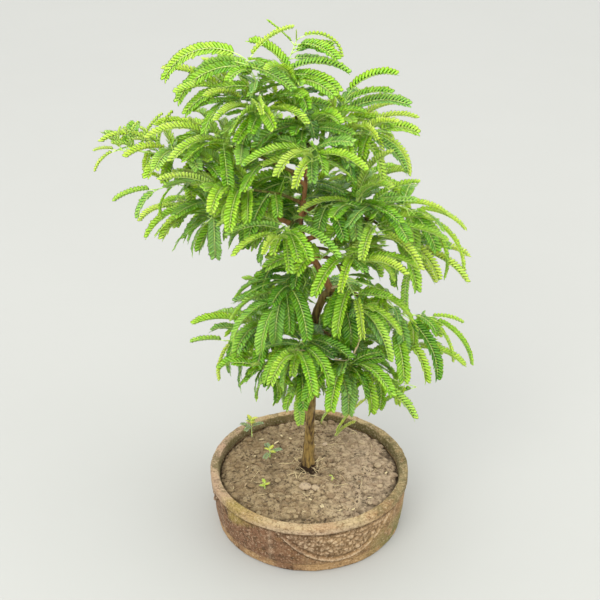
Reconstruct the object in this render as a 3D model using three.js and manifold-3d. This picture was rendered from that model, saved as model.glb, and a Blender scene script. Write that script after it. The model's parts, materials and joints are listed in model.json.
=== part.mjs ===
// A potted tamarind tree: a round bowl of fired clay with hanging swags in relief, its soil, a
// young tree of one trunk with limbs, the leafy sprays on the limbs, and a few weeds in the soil.
// Lengths are in millimetres and +Z is up. The front of the pot faces -Y.
// The origin is the middle of the pot's underside.

import * as THREE from "three";
import { mergeVertices } from "three/addons/utils/BufferGeometryUtils.js";
import Module from "manifold-3d";

const wasm = await Module();
wasm.setup();

// Pot
const RIM_RADIUS = 150;
const POT_HEIGHT = 88;
const RIM_WALL = 13;
const RIM_ROUND = 1.6;
const LIP_HEIGHT = 13;
const BODY_TOP_RADIUS = 147;
const BODY_FOOT_RADIUS = 139;
// Below 1, the side swells out low down, as a bowl's does.
const BODY_SWELL = 0.3;
const FOOT_BAND_HEIGHT = 12;
const FOOT_BAND_STEP = 1.2;
const FOOT_ROUND = 3;
const INNER_FOOT_RADIUS = 130;
const FLOOR_THICKNESS = 9;
const POT_SIDES = 40;
const BODY_ROWS = 4;
const DRAIN_HOLES = 3;
const DRAIN_RADIUS = 6;
const DRAIN_SIDES = 8;
const DRAIN_CIRCLE = 45;

// Swags in relief round the pot
const SWAGS = 3;
const SWAG_MIDDLE = THREE.MathUtils.degToRad(-72.5);
const SWAG_HALF_ANGLE = THREE.MathUtils.degToRad(37.5);
const SWAG_DROP = 56;
const SWAG_RAISE = 2.6;
const SWAG_GROOVE = -1;
const SWAG_GROOVE_WIDTH = 9;

// Soil
const GAP = 0.3;
const SOIL_EDGE_HEIGHT = 78;
const SOIL_MOUND = 5;
const SOIL_SIDES = 30;
const SOIL_RINGS = 4;
const CLOD_HEIGHT = 1.6;
const CLOD_LENGTH = 34;
const CLOD_STRETCH = 1.3;
const CLOD_SLANT = 0.7;

// Wood
const TRUNK_SIDES = 8;
const LIMB_SIDES = 4;
const TRUNK_STEPS = 8;
const ROOT_FLARE = 3.6;
const FLARE_LENGTH = 16;
const SPUR_LENGTH = 10;
const SPUR_RADIUS = 1.9;
const SPUR_SIDES = 3;
const STEM_HOLE_GAP = 0.5;

// Sprays: how a side shoot stands to its limb, and the green twig that it grows into
const SEED = 5;
const GOLDEN_ANGLE = THREE.MathUtils.degToRad(137.508);
const LAST_SHOOT = 0.9;
const SHOOT_FORWARD = 0.45;
const SHOOT_SIDEWARD = 0.9;
const SHOOT_UPWARD = 0.75;
const SHOOT_LIFT = 0.25;
const SHOOT_TURN_DRAW = 0.3;
const END_TWIG = [38, 54];
const SIDE_TWIG = [26, 40];
const END_FRONDS = 6;
const SIDE_FRONDS = 5;
const FEWEST_FRONDS = 4;
const TWIG_SIDES = 3;
const TWIG_STEPS = 2;
const TWIG_ROOT_RADIUS = 1.9;
const TWIG_TIP_RADIUS = 1.5;
const TWIG_BEND = 0.4;
const TWIG_SAG = [0.05, 0.2];
const TWIG_SWINGS = [0, 0.3, -0.3, 0.6, -0.6, 0.9, -0.9, 1.2, -1.2];
const TWIG_SAMPLES = [0.25, 0.4, 0.55, 0.7, 0.85, 1];

// Fronds: pairs of numbers in degrees are those of the youngest and of the oldest leaf, except
// that the spread off the twig is that at the twig's root and at its tip
const FIRST_FROND = 0.22;
const FROND_LENGTH = [76, 100];
const SHORTER_AT_ENDS = 0.14;
const FROND_HALF_BREADTH = 14.5;
const FROND_SPREAD = [78, 40];
const SPREAD_DRAW = 8;
const FROND_RISE = [38, 4];
const RISE_DRAW = 10;
const FROND_DROOP = [55, 100];
const DROOP_DRAW = 14;
const FROND_FOLD = [57, -5];
const FOLD_DRAW = 8;
const ROLL_DRAW = 14;
const TWIG_SHARE_OF_RISE = 0.5;
const YOUNGER_OUTWARD = 0.25;
const OLDER_AT_SIDE = 0.1;
const AGE_DRAW = 0.12;
const YOUNGEST = 0.02;
const BARE_SHARE = 0.14;
const LEAN = 0.3;
const BLUNTNESS = 0.74;
const RIB_HALF_WIDTH = 1;
const RIB_HEIGHT = 1.5;
const STALK_SINK = 0.8;
const LEAFLET_PAIRS = 3;
const LEAFLET_START = 0.1;
const LEAFLET_END = 0.86;

// Tries at finding a frond its room: what each one changes
const FROND_TRIES = 14;
const TRY_TURN = 0.22;
const TRY_TIP = 0.12;
const TRY_DROOP = 0.12;
const TRY_SHORTEN = 0.015;
const TRY_ROLL = 0.16;

// Room that each frond keeps to all else
const STATIONS = 13;
const FIRST_STATION = 0.8 * BARE_SHARE;
const OUTER_STATION = 3;
const ACROSS = [-1, -0.5, 0, 0.5, 1];
const ROOM_BETWEEN_SPRAYS = 6;
const ROOM_WITHIN_SPRAY = 4;
const ROOM_TO_TWIG = 6;
const ROOM_TO_WOOD = 6.5;
const WOOD_SAMPLES = 9;
const LOWEST_LEAF = 185;

// The trunk and the limbs, with the points of their routes chosen by hand. A limb stands on
// another at a share of its route. It has its radius at both ends, its number of side sprays,
// the share of its route where they begin, the size of its leaves, and its age: 0 bears young
// bright leaves that stand folded, and 1 old dark ones that hang flat.
const LIMB_TIP_RADIUS = 1.7;
const TRUNK = {
  name: "trunk", thick: 7.6, thin: 5.6, shoots: 2, from: 0.62, age: 0.75, size: 1,
  points: [[-2, 20, 40], [0, 10, 133], [2, 0, 200], [3, 2, 275], [6, 3, 335], [19, 2, 376], [31, 0, 388]],
};
const LEADER = {
  name: "leader", on: "trunk", at: 0.98, thick: 5.2, shoots: 5, from: 0.3, age: 0.4, size: 0.9,
  points: [[17, 4, 412], [-6, 8, 456], [-13, 8, 490], [-8, 6, 530], [-6, 4, 576], [-16, 2, 618], [-20, 0, 656]],
};
const LIMBS = [
  TRUNK,
  LEADER,
  {
    name: "left", on: "leader", at: 0.39, thick: 3.6, shoots: 4, from: 0.25, age: 0.35, size: 0.85,
    points: [[-50, -8, 506], [-90, -14, 528], [-118, -14, 552], [-140, -12, 577], [-166, -8, 590]],
  },
  {
    name: "left_low", on: "left", at: 0.45, thick: 2.4, shoots: 0, from: 0.4, age: 0.5, size: 1,
    points: [[-104, 6, 532], [-118, 14, 524]],
  },
  {
    name: "left_under", on: "left", at: 0.2, thick: 2.4, shoots: 0, from: 0.5, age: 0.7, size: 1,
    points: [[-66, 20, 500], [-84, 38, 492]],
  },
  {
    name: "left_top", on: "leader", at: 0.66, thick: 2.6, shoots: 2, from: 0.4, age: 0.35, size: 1,
    points: [[-38, -24, 584], [-72, -30, 604], [-100, -24, 612]],
  },
  {
    name: "upper_left", on: "leader", at: 0.78, thick: 2.8, shoots: 3, from: 0.3, age: 0.3, size: 1,
    points: [[-30, -10, 616], [-48, -10, 634], [-66, -6, 646]],
  },
  {
    name: "back_left", on: "leader", at: 0.62, thick: 2.6, shoots: 1, from: 0.5, age: 0.55, size: 1,
    points: [[-42, 36, 562], [-76, 50, 576]],
  },
  {
    name: "upper_right", on: "leader", at: 0.7, thick: 2.8, shoots: 3, from: 0.3, age: 0.25, size: 1,
    points: [[10, 6, 592], [21, 6, 603], [30, 2, 608]],
  },
  {
    name: "right", on: "leader", at: 0.31, thick: 3.6, shoots: 4, from: 0.3, age: 0.25, size: 1,
    points: [[26, -14, 486], [54, -22, 507], [80, -24, 508], [100, -20, 490]],
  },
  {
    name: "mid_right", on: "leader", at: 0.23, thick: 2.8, shoots: 1, from: 0.5, age: 0.35, size: 1,
    points: [[30, -26, 450], [44, -42, 434]],
  },
  {
    name: "back_right", on: "leader", at: 0.46, thick: 2.6, shoots: 1, from: 0.5, age: 0.6, size: 1,
    points: [[23, 40, 514], [44, 54, 520]],
  },
  {
    name: "side", on: "trunk", at: 0.98, thick: 3.4, shoots: 2, from: 0.35, age: 0.5, size: 1,
    points: [[55, -6, 390], [80, -12, 376], [106, -16, 350]],
  },
  {
    name: "low_left", on: "trunk", at: 0.58, thick: 2.8, shoots: 2, from: 0.35, age: 0.5, size: 1,
    points: [[-20, -8, 330], [-36, -12, 334]],
  },
  {
    name: "low_right", on: "trunk", at: 0.64, thick: 2.8, shoots: 2, from: 0.4, age: 0.6, size: 1,
    points: [[30, -26, 330], [48, -36, 312]],
  },
  {
    name: "mid_left", on: "leader", at: 0.21, thick: 2.8, shoots: 1, from: 0.5, age: 0.6, size: 1,
    points: [[-10, -18, 434], [-20, -34, 428]],
  },
  {
    name: "front", on: "trunk", at: 0.62, thick: 2.6, shoots: 1, from: 0.55, age: 0.5, size: 1,
    points: [[-2, -30, 342], [-8, -54, 344]],
  },
  {
    name: "front_low", on: "trunk", at: 0.46, thick: 2.6, shoots: 1, from: 0.5, age: 0.7, size: 1,
    points: [[20, -26, 288], [34, -44, 298]],
  },
  {
    name: "left_foot", on: "trunk", at: 0.47, thick: 2.6, shoots: 1, from: 0.5, age: 0.5, size: 1,
    points: [[-22, -22, 292], [-34, -40, 300]],
  },
  {
    name: "front_mid", on: "leader", at: 0.43, thick: 2.6, shoots: 1, from: 0.5, age: 0.35, size: 1,
    points: [[-22, -28, 508], [-28, -52, 512]],
  },
  {
    name: "front_right", on: "leader", at: 0.27, thick: 2.6, shoots: 1, from: 0.5, age: 0.35, size: 1,
    points: [[18, -30, 468], [38, -54, 472]],
  },
  {
    name: "left_mid", on: "leader", at: 0.53, thick: 2.6, shoots: 1, from: 0.5, age: 0.4, size: 1,
    points: [[-40, -30, 548], [-74, -44, 560]],
  },
  {
    name: "front_up", on: "leader", at: 0.79, thick: 2.4, shoots: 1, from: 0.5, age: 0.3, size: 1,
    points: [[-4, -22, 615], [-2, -42, 618]],
  },
  {
    name: "back_low", on: "trunk", at: 0.65, thick: 2.6, shoots: 0, from: 0.5, age: 0.7, size: 1,
    points: [[12, 34, 345], [14, 58, 345]],
  },
  {
    name: "back_mid", on: "leader", at: 0.27, thick: 2.6, shoots: 0, from: 0.5, age: 0.7, size: 1,
    points: [[-24, 40, 462], [-34, 62, 464]],
  },
];

// Weeds in the soil: where each stands, its height, its lean, and its leaves.
const WEEDS = [
  { name: "weed_back", x: -90, y: 84, height: 34, fronds: 4, leaves: 0 },
  { name: "weed_left", x: -60, y: 24, height: 16, fronds: 2, leaves: 2 },
  { name: "weed_front", x: -66, y: -48, height: 9, fronds: 0, leaves: 3 },
  { name: "weed_right", x: 34, y: -30, height: 7, fronds: 0, leaves: 2 },
];
const WEED_STEM_RADIUS = 0.8;
const WEED_STEM_DEPTH = 8;
const WEED_LEAFLET_PAIRS = 2;
const WEED_STEM_SIDES = 4;
const WEED_HOLE_SIDES = 5;
const WEED_TOP_LEAF = 0.97;
const WEED_LEAFY_SHARE = 0.35;
const WEED_FROND_LENGTH = 24;
const WEED_FROND_HALF = 4.5;
const WEED_FROND_RISE = 0.7;
const WEED_FROND_DROOP = 0.9;
const WEED_FROND_FOLD = 0.3;
const WEED_LEAF_RISE = 0.35;
const WEED_LEAF_LENGTH = 10;
const WEED_LEAF_HALF = 3.2;
const WEED_LEAF_THICKNESS = 0.8;

const COLOURS = {
  clay: new THREE.Color(0.42, 0.3, 0.19),
  soil: new THREE.Color(0.34, 0.26, 0.17),
  wood: new THREE.Color(0.2, 0.12, 0.07),
  youngLeaf: new THREE.Color(0.42, 0.66, 0.08),
  oldLeaf: new THREE.Color(0.09, 0.25, 0.06),
  weed: new THREE.Color(0.3, 0.46, 0.16),
};
const MATTE = 0.85;
const MERGE_DISTANCE = 1e-5;
const HEADING_STEP = 0.01;
const TUBE_HEADING_STEP = 0.005;

// A repeatable stream of numbers between two ends.
function makeDraw(seed) {
  let state = seed >>> 0;
  const draw = (low, high) => {
    state = (Math.imul(state, 1664525) + 1013904223) >>> 0;
    return low + (high - low) * (state / 4294967296);
  };
  for (let i = 0; i < 4; i += 1) {
    draw(0, 1);
  }
  return draw;
}

// A geometry's points and faces as a solid that can be cut and joined.
function solidOf(geometry) {
  const bare = geometry.clone();
  bare.deleteAttribute("normal");
  bare.deleteAttribute("uv");
  const merged = mergeVertices(bare, MERGE_DISTANCE);
  const corners = merged.index.array;
  const kept = [];
  for (let i = 0; i < corners.length; i += 3) {
    const [a, b, c] = [corners[i], corners[i + 1], corners[i + 2]];
    if (a !== b && b !== c && c !== a) {
      kept.push(a, b, c);
    }
  }
  return new wasm.Manifold(new wasm.Mesh({
    numProp: 3,
    vertProperties: Float32Array.from(merged.attributes.position.array),
    triVerts: Uint32Array.from(kept),
  }));
}

// A solid's surface as a geometry.
function geometryOf(solid) {
  const surface = solid.getMesh();
  const geometry = new THREE.BufferGeometry();
  geometry.setAttribute("position", new THREE.Float32BufferAttribute(surface.vertProperties, 3));
  geometry.setIndex(Array.from(surface.triVerts));
  geometry.computeVertexNormals();
  return geometry;
}

function joined(solids) {
  return solids.reduce((whole, solid) => whole.add(solid));
}

function meshOf(name, geometry, colour) {
  const material = new THREE.MeshStandardMaterial({ color: colour, roughness: MATTE, metalness: 0 });
  const mesh = new THREE.Mesh(geometry, material);
  mesh.name = name;
  return mesh;
}

// A closed solid turned about +Z from a profile of radii and heights that runs from the axis at
// the bottom, up the outside and back to the axis.
function turned(profile, sides) {
  const points = profile.map(([radius, height]) => new THREE.Vector2(radius, height));
  const geometry = new THREE.LatheGeometry(points, sides);
  geometry.rotateX(Math.PI / 2);
  return geometry;
}

// Moves every point of a geometry by a function that changes it in place.
function moved(geometry, change) {
  const position = geometry.attributes.position;
  const point = new THREE.Vector3();
  for (let i = 0; i < position.count; i += 1) {
    point.fromBufferAttribute(position, i);
    change(point);
    position.setXYZ(i, point.x, point.y, point.z);
  }
  return geometry;
}

// A closed tube along a route, with its own radius at each share of the route's length. It is a
// cylinder whose rings are set across the route.
function taperedTube(routeAt, radiusAt, sides, steps) {
  const chord = routeAt(1).sub(routeAt(0));
  const flatness = [Math.abs(chord.x), Math.abs(chord.y), Math.abs(chord.z)];
  const least = flatness.indexOf(Math.min(...flatness));
  const steady = new THREE.Vector3().setComponent(least, 1);
  const geometry = new THREE.CylinderGeometry(1, 1, 1, sides, steps);
  return moved(geometry, (point) => {
    const share = THREE.MathUtils.clamp(point.y + 0.5, 0, 1);
    const before = routeAt(Math.max(0, share - TUBE_HEADING_STEP));
    const along = routeAt(Math.min(1, share + TUBE_HEADING_STEP)).sub(before).normalize();
    const first = new THREE.Vector3().crossVectors(along, steady).normalize();
    const second = new THREE.Vector3().crossVectors(first, along);
    const radius = radiusAt(share);
    const across = point.x * radius;
    const over = point.z * radius;
    point.copy(routeAt(share)).addScaledVector(first, across).addScaledVector(second, over);
  });
}

// Radius of the pot's inner wall at a height.
function innerRadius(height) {
  const share = (height - FLOOR_THICKNESS) / (POT_HEIGHT - FLOOR_THICKNESS);
  return THREE.MathUtils.lerp(INNER_FOOT_RADIUS, RIM_RADIUS - RIM_WALL, share);
}

// How far the relief stands out of the pot's side at an angle and a height: a swag hangs from the
// lip like a crescent, with a groove along its lower edge.
function relief(angle, height) {
  const turn = (2 * Math.PI) / SWAGS;
  const offset = THREE.MathUtils.euclideanModulo(angle - SWAG_MIDDLE + turn / 2, turn) - turn / 2;
  const across = Math.abs(offset) / SWAG_HALF_ANGLE;
  if (across >= 1) {
    return 0;
  }
  const edge = POT_HEIGHT - LIP_HEIGHT - SWAG_DROP * (1 - across * across);
  if (height > edge) {
    return SWAG_RAISE;
  }
  return height > edge - SWAG_GROOVE_WIDTH ? SWAG_GROOVE : 0;
}

function drainHole(index) {
  const hole = new THREE.CylinderGeometry(DRAIN_RADIUS, DRAIN_RADIUS, 4 * FLOOR_THICKNESS, DRAIN_SIDES);
  const angle = (index / DRAIN_HOLES) * 2 * Math.PI;
  hole.rotateX(Math.PI / 2);
  hole.translate(DRAIN_CIRCLE * Math.cos(angle), DRAIN_CIRCLE * Math.sin(angle), 0);
  return solidOf(hole);
}

// The pot: a wide low bowl with a heavy lip, a foot band and swags round its side.
function makePot() {
  const bodyTop = POT_HEIGHT - LIP_HEIGHT;
  const bodyFoot = FOOT_BAND_HEIGHT + FOOT_BAND_STEP;
  const body = [];
  for (let row = 0; row <= BODY_ROWS; row += 1) {
    const share = row / BODY_ROWS;
    body.push([
      THREE.MathUtils.lerp(BODY_FOOT_RADIUS, BODY_TOP_RADIUS, share ** BODY_SWELL),
      THREE.MathUtils.lerp(bodyFoot, bodyTop, share),
    ]);
  }
  const inner = RIM_RADIUS - RIM_WALL;
  const profile = [
    [0, 0],
    [BODY_FOOT_RADIUS - FOOT_ROUND, 0],
    [BODY_FOOT_RADIUS + FOOT_BAND_STEP, FOOT_ROUND],
    [BODY_FOOT_RADIUS + FOOT_BAND_STEP, FOOT_BAND_HEIGHT],
    ...body,
    [RIM_RADIUS, bodyTop + RIM_ROUND],
    [RIM_RADIUS, POT_HEIGHT - RIM_ROUND],
    [RIM_RADIUS - RIM_ROUND, POT_HEIGHT],
    [inner + RIM_ROUND, POT_HEIGHT],
    [inner, POT_HEIGHT - RIM_ROUND],
    [INNER_FOOT_RADIUS, FLOOR_THICKNESS],
    [0, FLOOR_THICKNESS],
  ];
  const shell = moved(turned(profile, POT_SIDES), (point) => {
    const radius = Math.hypot(point.x, point.y);
    const onSide = point.z > bodyFoot - 0.1 && point.z < bodyTop - 0.1 && radius > BODY_FOOT_RADIUS - 1;
    if (onSide) {
      const out = relief(Math.atan2(point.y, point.x), point.z) / radius;
      point.x *= 1 + out;
      point.y *= 1 + out;
    }
  });
  let pot = solidOf(shell);
  for (let hole = 0; hole < DRAIN_HOLES; hole += 1) {
    pot = pot.subtract(drainHole(hole));
  }
  return meshOf("pot", geometryOf(pot), COLOURS.clay);
}

// Height of the soil's surface: a low mound with shallow clods.
function soilHeight(x, y) {
  const share = Math.hypot(x, y) / innerRadius(SOIL_EDGE_HEIGHT);
  const mound = SOIL_MOUND * (1 - share * share);
  const pitch = (2 * Math.PI) / CLOD_LENGTH;
  const clods = Math.sin(x * pitch) * Math.cos(y * pitch * CLOD_STRETCH);
  const swell = Math.sin((x + y) * pitch * CLOD_SLANT) / 2;
  return SOIL_EDGE_HEIGHT + mound + CLOD_HEIGHT * (clods + swell) * Math.max(0, 1 - share);
}

// The soil fills the pot to a little below its rim, clear of the flats of the pot's wall, with
// holes for the stems that stand in it.
function makeSoil(stems) {
  const flats = Math.cos(Math.PI / POT_SIDES);
  const edge = innerRadius(SOIL_EDGE_HEIGHT) * flats - GAP;
  const foot = innerRadius(FLOOR_THICKNESS) * flats - GAP;
  const profile = [[0, FLOOR_THICKNESS + GAP], [foot, FLOOR_THICKNESS + GAP]];
  for (let ring = 0; ring <= SOIL_RINGS; ring += 1) {
    profile.push([edge * (1 - ring / SOIL_RINGS), SOIL_EDGE_HEIGHT]);
  }
  const block = moved(turned(profile, SOIL_SIDES), (point) => {
    if (point.z > SOIL_EDGE_HEIGHT - 0.1) {
      point.z = soilHeight(point.x, point.y);
    }
  });
  const holed = stems.reduce((soil, stem) => soil.subtract(stem), solidOf(block));
  return meshOf("soil", geometryOf(holed), COLOURS.soil);
}

// The smooth curve of each limb, by the limb's name. It starts on the curve of the one below.
function limbCurves() {
  const curves = {};
  LIMBS.forEach((limb) => {
    const points = limb.points.map(([x, y, z]) => new THREE.Vector3(x, y, z));
    if (limb !== TRUNK) {
      points.unshift(curves[limb.on].getPoint(limb.at));
    }
    curves[limb.name] = new THREE.CatmullRomCurve3(points, false, "catmullrom", 0.5);
  });
  return curves;
}

// Direction of a limb at a share of its route.
function headingOf(curve, share) {
  const before = curve.getPoint(Math.max(0, share - HEADING_STEP));
  return curve.getPoint(Math.min(1, share + HEADING_STEP)).sub(before).normalize();
}

// A pinnate leaf, as one curved rib with leaflets along both sides. It stands at a point, heads
// off at an azimuth, starts at an angle of rise and bends down by its droop. Its leaflets fold up
// from flat, and the whole leaf rolls about its rib.
class Frond {
  constructor(base, azimuth, rise, droop, length, half, fold, roll, age) {
    Object.assign(this, { base, azimuth, rise, droop, length, half, fold, roll, age });
  }

  centre(share) {
    const end = this.rise - this.droop * share;
    const run = (this.length * (Math.sin(this.rise) - Math.sin(end))) / this.droop;
    const climb = (this.length * (Math.cos(end) - Math.cos(this.rise))) / this.droop;
    const step = new THREE.Vector3(run * Math.cos(this.azimuth), run * Math.sin(this.azimuth), climb);
    return step.add(this.base);
  }

  // The rib's direction, the way out to the left, and the way up off the leaf.
  frame(share) {
    const slope = this.rise - this.droop * share;
    const [ca, sa] = [Math.cos(this.azimuth), Math.sin(this.azimuth)];
    const [cs, ss] = [Math.cos(slope), Math.sin(slope)];
    const [cr, sr] = [Math.cos(this.roll), Math.sin(this.roll)];
    const along = new THREE.Vector3(cs * ca, cs * sa, ss);
    const flat = new THREE.Vector3(-sa, ca, 0);
    const up = new THREE.Vector3(-ss * ca, -ss * sa, cs);
    const left = flat.clone().multiplyScalar(cr).addScaledVector(up, sr);
    const over = up.clone().multiplyScalar(cr).addScaledVector(flat, -sr);
    return { along, left, over };
  }

  // Reach of a leaflet at a share of the rib: nearly even, and a little less at both ends.
  breadth(share) {
    const place = THREE.MathUtils.clamp((share - BARE_SHARE) / (1 - BARE_SHARE), 0, 1);
    return this.half * (BLUNTNESS + (1 - BLUNTNESS) * Math.sqrt(Math.sin(Math.PI * place)));
  }

  // The point at a share of the rib's length and a share of the way out, negative to the right.
  at(share, across) {
    const { along, left, over } = this.frame(share);
    const side = across >= 0 ? 1 : -1;
    const reach = Math.abs(across) * this.breadth(share);
    return this.centre(share)
      .addScaledVector(left, side * Math.cos(this.fold) * reach)
      .addScaledVector(over, Math.sin(this.fold) * reach)
      .addScaledVector(along, LEAN * reach);
  }

  // Points all over the leaf, from a station on, to test its room with.
  samples(first) {
    const points = [];
    for (let station = first; station < STATIONS; station += 1) {
      const share = FIRST_STATION + ((1 - FIRST_STATION) * station) / (STATIONS - 1);
      const row = share > BARE_SHARE ? ACROSS : [0];
      row.forEach((across) => points.push(this.at(share, across)));
    }
    return points;
  }
}

// The three corners of the rib's section at a share of its length.
function ribCorners(frond, share) {
  const { left, over } = frond.frame(share);
  const centre = frond.centre(share);
  return {
    left: centre.clone().addScaledVector(left, RIB_HALF_WIDTH),
    right: centre.clone().addScaledVector(left, -RIB_HALF_WIDTH),
    top: centre.clone().addScaledVector(over, RIB_HEIGHT),
  };
}

// A frond as one thin arched blade, cut to the rib between its leaflets. The blade is as thick as
// the rib in its middle and thins out to the leaflets' ends.
function frondSolid(frond, pairs) {
  const corners = [];
  const face = (...points) => {
    for (let i = 1; i + 1 < points.length; i += 1) {
      corners.push(points[0], points[i + 1], points[i]);
    }
  };
  const foot = frond.centre(0).addScaledVector(frond.frame(0).along, -STALK_SINK);
  let before = ribCorners(frond, BARE_SHARE);
  face(foot, before.left, before.top);
  face(foot, before.top, before.right);
  face(foot, before.right, before.left);
  for (let pair = 1; pair <= pairs; pair += 1) {
    const from = BARE_SHARE + ((1 - BARE_SHARE) * (pair - 1)) / pairs;
    const step = (1 - BARE_SHARE) / pairs;
    const near = from + LEAFLET_START * step;
    const far = from + LEAFLET_END * step;
    const tip = frond.centre(1);
    const after = pair < pairs ? ribCorners(frond, from + step) : { left: tip, right: tip, top: tip };
    const [nearLeft, farLeft] = [frond.at(near, 1), frond.at(far, 1)];
    const [nearRight, farRight] = [frond.at(near, -1), frond.at(far, -1)];
    face(before.top, before.left, nearLeft, farLeft, after.left, after.top);
    face(before.top, after.top, after.right, farRight, nearRight, before.right);
    face(before.left, after.left, farLeft, nearLeft);
    face(before.right, nearRight, farRight, after.right);
    face(before.left, before.right, after.right, after.left);
    before = after;
  }
  const geometry = new THREE.BufferGeometry().setFromPoints(corners);
  return solidOf(geometry);
}

// What is taken already, as sets of points, each with the room that it needs and its owner.
class Room {
  constructor() {
    this.sets = [];
  }

  static ballOf(points) {
    const middle = points.reduce((sum, point) => sum.add(point), new THREE.Vector3());
    middle.divideScalar(points.length);
    const reach = Math.max(...points.map((point) => point.distanceTo(middle)));
    return { middle, reach };
  }

  take(points, owner, gap) {
    this.sets.push({ points, owner, gap, ...Room.ballOf(points) });
  }

  isClear(points, owner) {
    const { middle, reach } = Room.ballOf(points);
    return this.sets.every((set) => {
      const near = set.middle.distanceTo(middle) < set.reach + reach + set.gap;
      return set.owner === owner || !near || keepApart(points, set.points, set.gap);
    });
  }
}

function keepApart(points, others, gap) {
  return points.every((point) => others.every((other) => point.distanceToSquared(other) >= gap * gap));
}

// The side spray that a limb bears at one of its shoots: they stand by turns round the limb.
function planSide(limb, shoot, index, draw) {
  const curve = curves[limb.name];
  const share = limb.from + ((LAST_SHOOT - limb.from) * (shoot - 0.5)) / limb.shoots;
  const along = headingOf(curve, share);
  const side = new THREE.Vector3(-along.y, along.x, 0).normalize();
  const up = new THREE.Vector3().crossVectors(along, side);
  up.multiplyScalar(up.z < 0 ? -1 : 1);
  const turn = GOLDEN_ANGLE * shoot + index + draw(-SHOOT_TURN_DRAW, SHOOT_TURN_DRAW);
  const aim = along.multiplyScalar(SHOOT_FORWARD)
    .addScaledVector(side, SHOOT_SIDEWARD * Math.cos(turn))
    .addScaledVector(up, SHOOT_UPWARD * Math.sin(turn));
  aim.z += SHOOT_LIFT;
  aim.normalize();
  return { name: `spray_${limb.name}_${shoot}`, limb, atEnd: false, root: curve.getPoint(share), aim };
}

// Where the limbs bear sprays: first one at the end of each, then those along their sides.
function planSprays() {
  const ends = LIMBS.filter((limb) => limb !== TRUNK).map((limb) => {
    const curve = curves[limb.name];
    const aim = headingOf(curve, 1);
    return { name: `spray_${limb.name}_end`, limb, atEnd: true, root: curve.getPoint(1), aim };
  });
  const sides = LIMBS.flatMap((limb, index) => {
    const draw = makeDraw(SEED * 1000 + index);
    const shoots = Array.from({ length: limb.shoots }, (_, place) => place + 1);
    return shoots.map((shoot) => planSide(limb, shoot, index, draw));
  });
  return [...ends, ...sides];
}

// A spray's green twig: it leaves the wood straight, then bends to its own way.
class Twig {
  constructor(plan, swing, length, sag) {
    const [cos, sin] = [Math.cos(swing), Math.sin(swing)];
    const { aim } = plan;
    this.aim = new THREE.Vector3(aim.x * cos - aim.y * sin, aim.x * sin + aim.y * cos, aim.z);
    this.grain = plan.atEnd ? aim.clone() : this.aim.clone();
    this.start = plan.root.clone().addScaledVector(this.grain, plan.atEnd ? GAP : SPUR_LENGTH + GAP);
    this.middle = this.start.clone().addScaledVector(this.grain, length * TWIG_BEND);
    this.end = this.start.clone().addScaledVector(this.aim, length);
    this.end.z -= sag * length;
  }

  at(share) {
    const rest = 1 - share;
    return this.start.clone().multiplyScalar(rest * rest)
      .addScaledVector(this.middle, 2 * rest * share)
      .addScaledVector(this.end, share * share);
  }

  // Points along the outer part, to test its room with.
  samples() {
    return TWIG_SAMPLES.map((share) => this.at(share));
  }
}

// The first of a spray's swings that has room, or undefined.
function placeTwig(plan, draw, room) {
  const [low, high] = plan.atEnd ? END_TWIG : SIDE_TWIG;
  const length = draw(low, high);
  const sag = draw(...TWIG_SAG);
  for (const swing of TWIG_SWINGS) {
    const twig = new Twig(plan, swing, length, sag);
    if (room.isClear(twig.samples(), plan.name)) {
      return twig;
    }
  }
  return undefined;
}

// An angle between those of the youngest and the oldest leaf, with a draw to either side of it.
function drawnAngle([young, old], age, range, draw) {
  return THREE.MathUtils.degToRad(THREE.MathUtils.lerp(young, old, age) + draw(-range, range));
}

// How a frond would stand on its twig if it had the place to itself. The fronds stand by turns to
// the twig's left and right, and the last one heads straight on.
function wishFrond(plan, twig, index, count, order, draw) {
  const share = FIRST_FROND + ((1 - FIRST_FROND) * index) / (count - 1);
  const side = (index + order) % 2 ? 1 : -1;
  const spread = index === count - 1 ? 0 : drawnAngle(FROND_SPREAD, share, SPREAD_DRAW, draw);
  const older = plan.atEnd ? 0 : OLDER_AT_SIDE;
  const wish = plan.limb.age - YOUNGER_OUTWARD * share + draw(-AGE_DRAW, AGE_DRAW) + older;
  const age = THREE.MathUtils.clamp(wish, YOUNGEST, 1);
  const shorter = 1 - SHORTER_AT_ENDS * Math.abs(share - 0.5);
  return {
    base: twig.at(share),
    age,
    length: plan.limb.size * draw(...FROND_LENGTH) * shorter,
    heading: Math.atan2(twig.aim.y, twig.aim.x) + side * spread,
    rise: Math.asin(twig.aim.z) * TWIG_SHARE_OF_RISE + drawnAngle(FROND_RISE, age, RISE_DRAW, draw),
    droop: drawnAngle(FROND_DROOP, age, DROOP_DRAW, draw),
    fold: drawnAngle(FROND_FOLD, age, FOLD_DRAW, draw),
    roll: drawnAngle([0, 0], age, ROLL_DRAW, draw),
  };
}

// The frond at one of its tries. Every try turns and rolls it a little more, to either side by
// turns, tips it, bends it and shortens it.
function tryFrond(wish, attempt) {
  const turn = Math.floor((attempt + 1) / 2) * (attempt % 2 ? 1 : -1);
  const tip = attempt ? (attempt % 3) - 1 : 0;
  return new Frond(
    wish.base,
    wish.heading + turn * TRY_TURN,
    wish.rise + tip * TRY_TIP,
    wish.droop + (attempt % 4) * TRY_DROOP,
    wish.length * (1 - TRY_SHORTEN * attempt),
    FROND_HALF_BREADTH,
    wish.fold,
    wish.roll + turn * TRY_ROLL,
    wish.age,
  );
}

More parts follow.
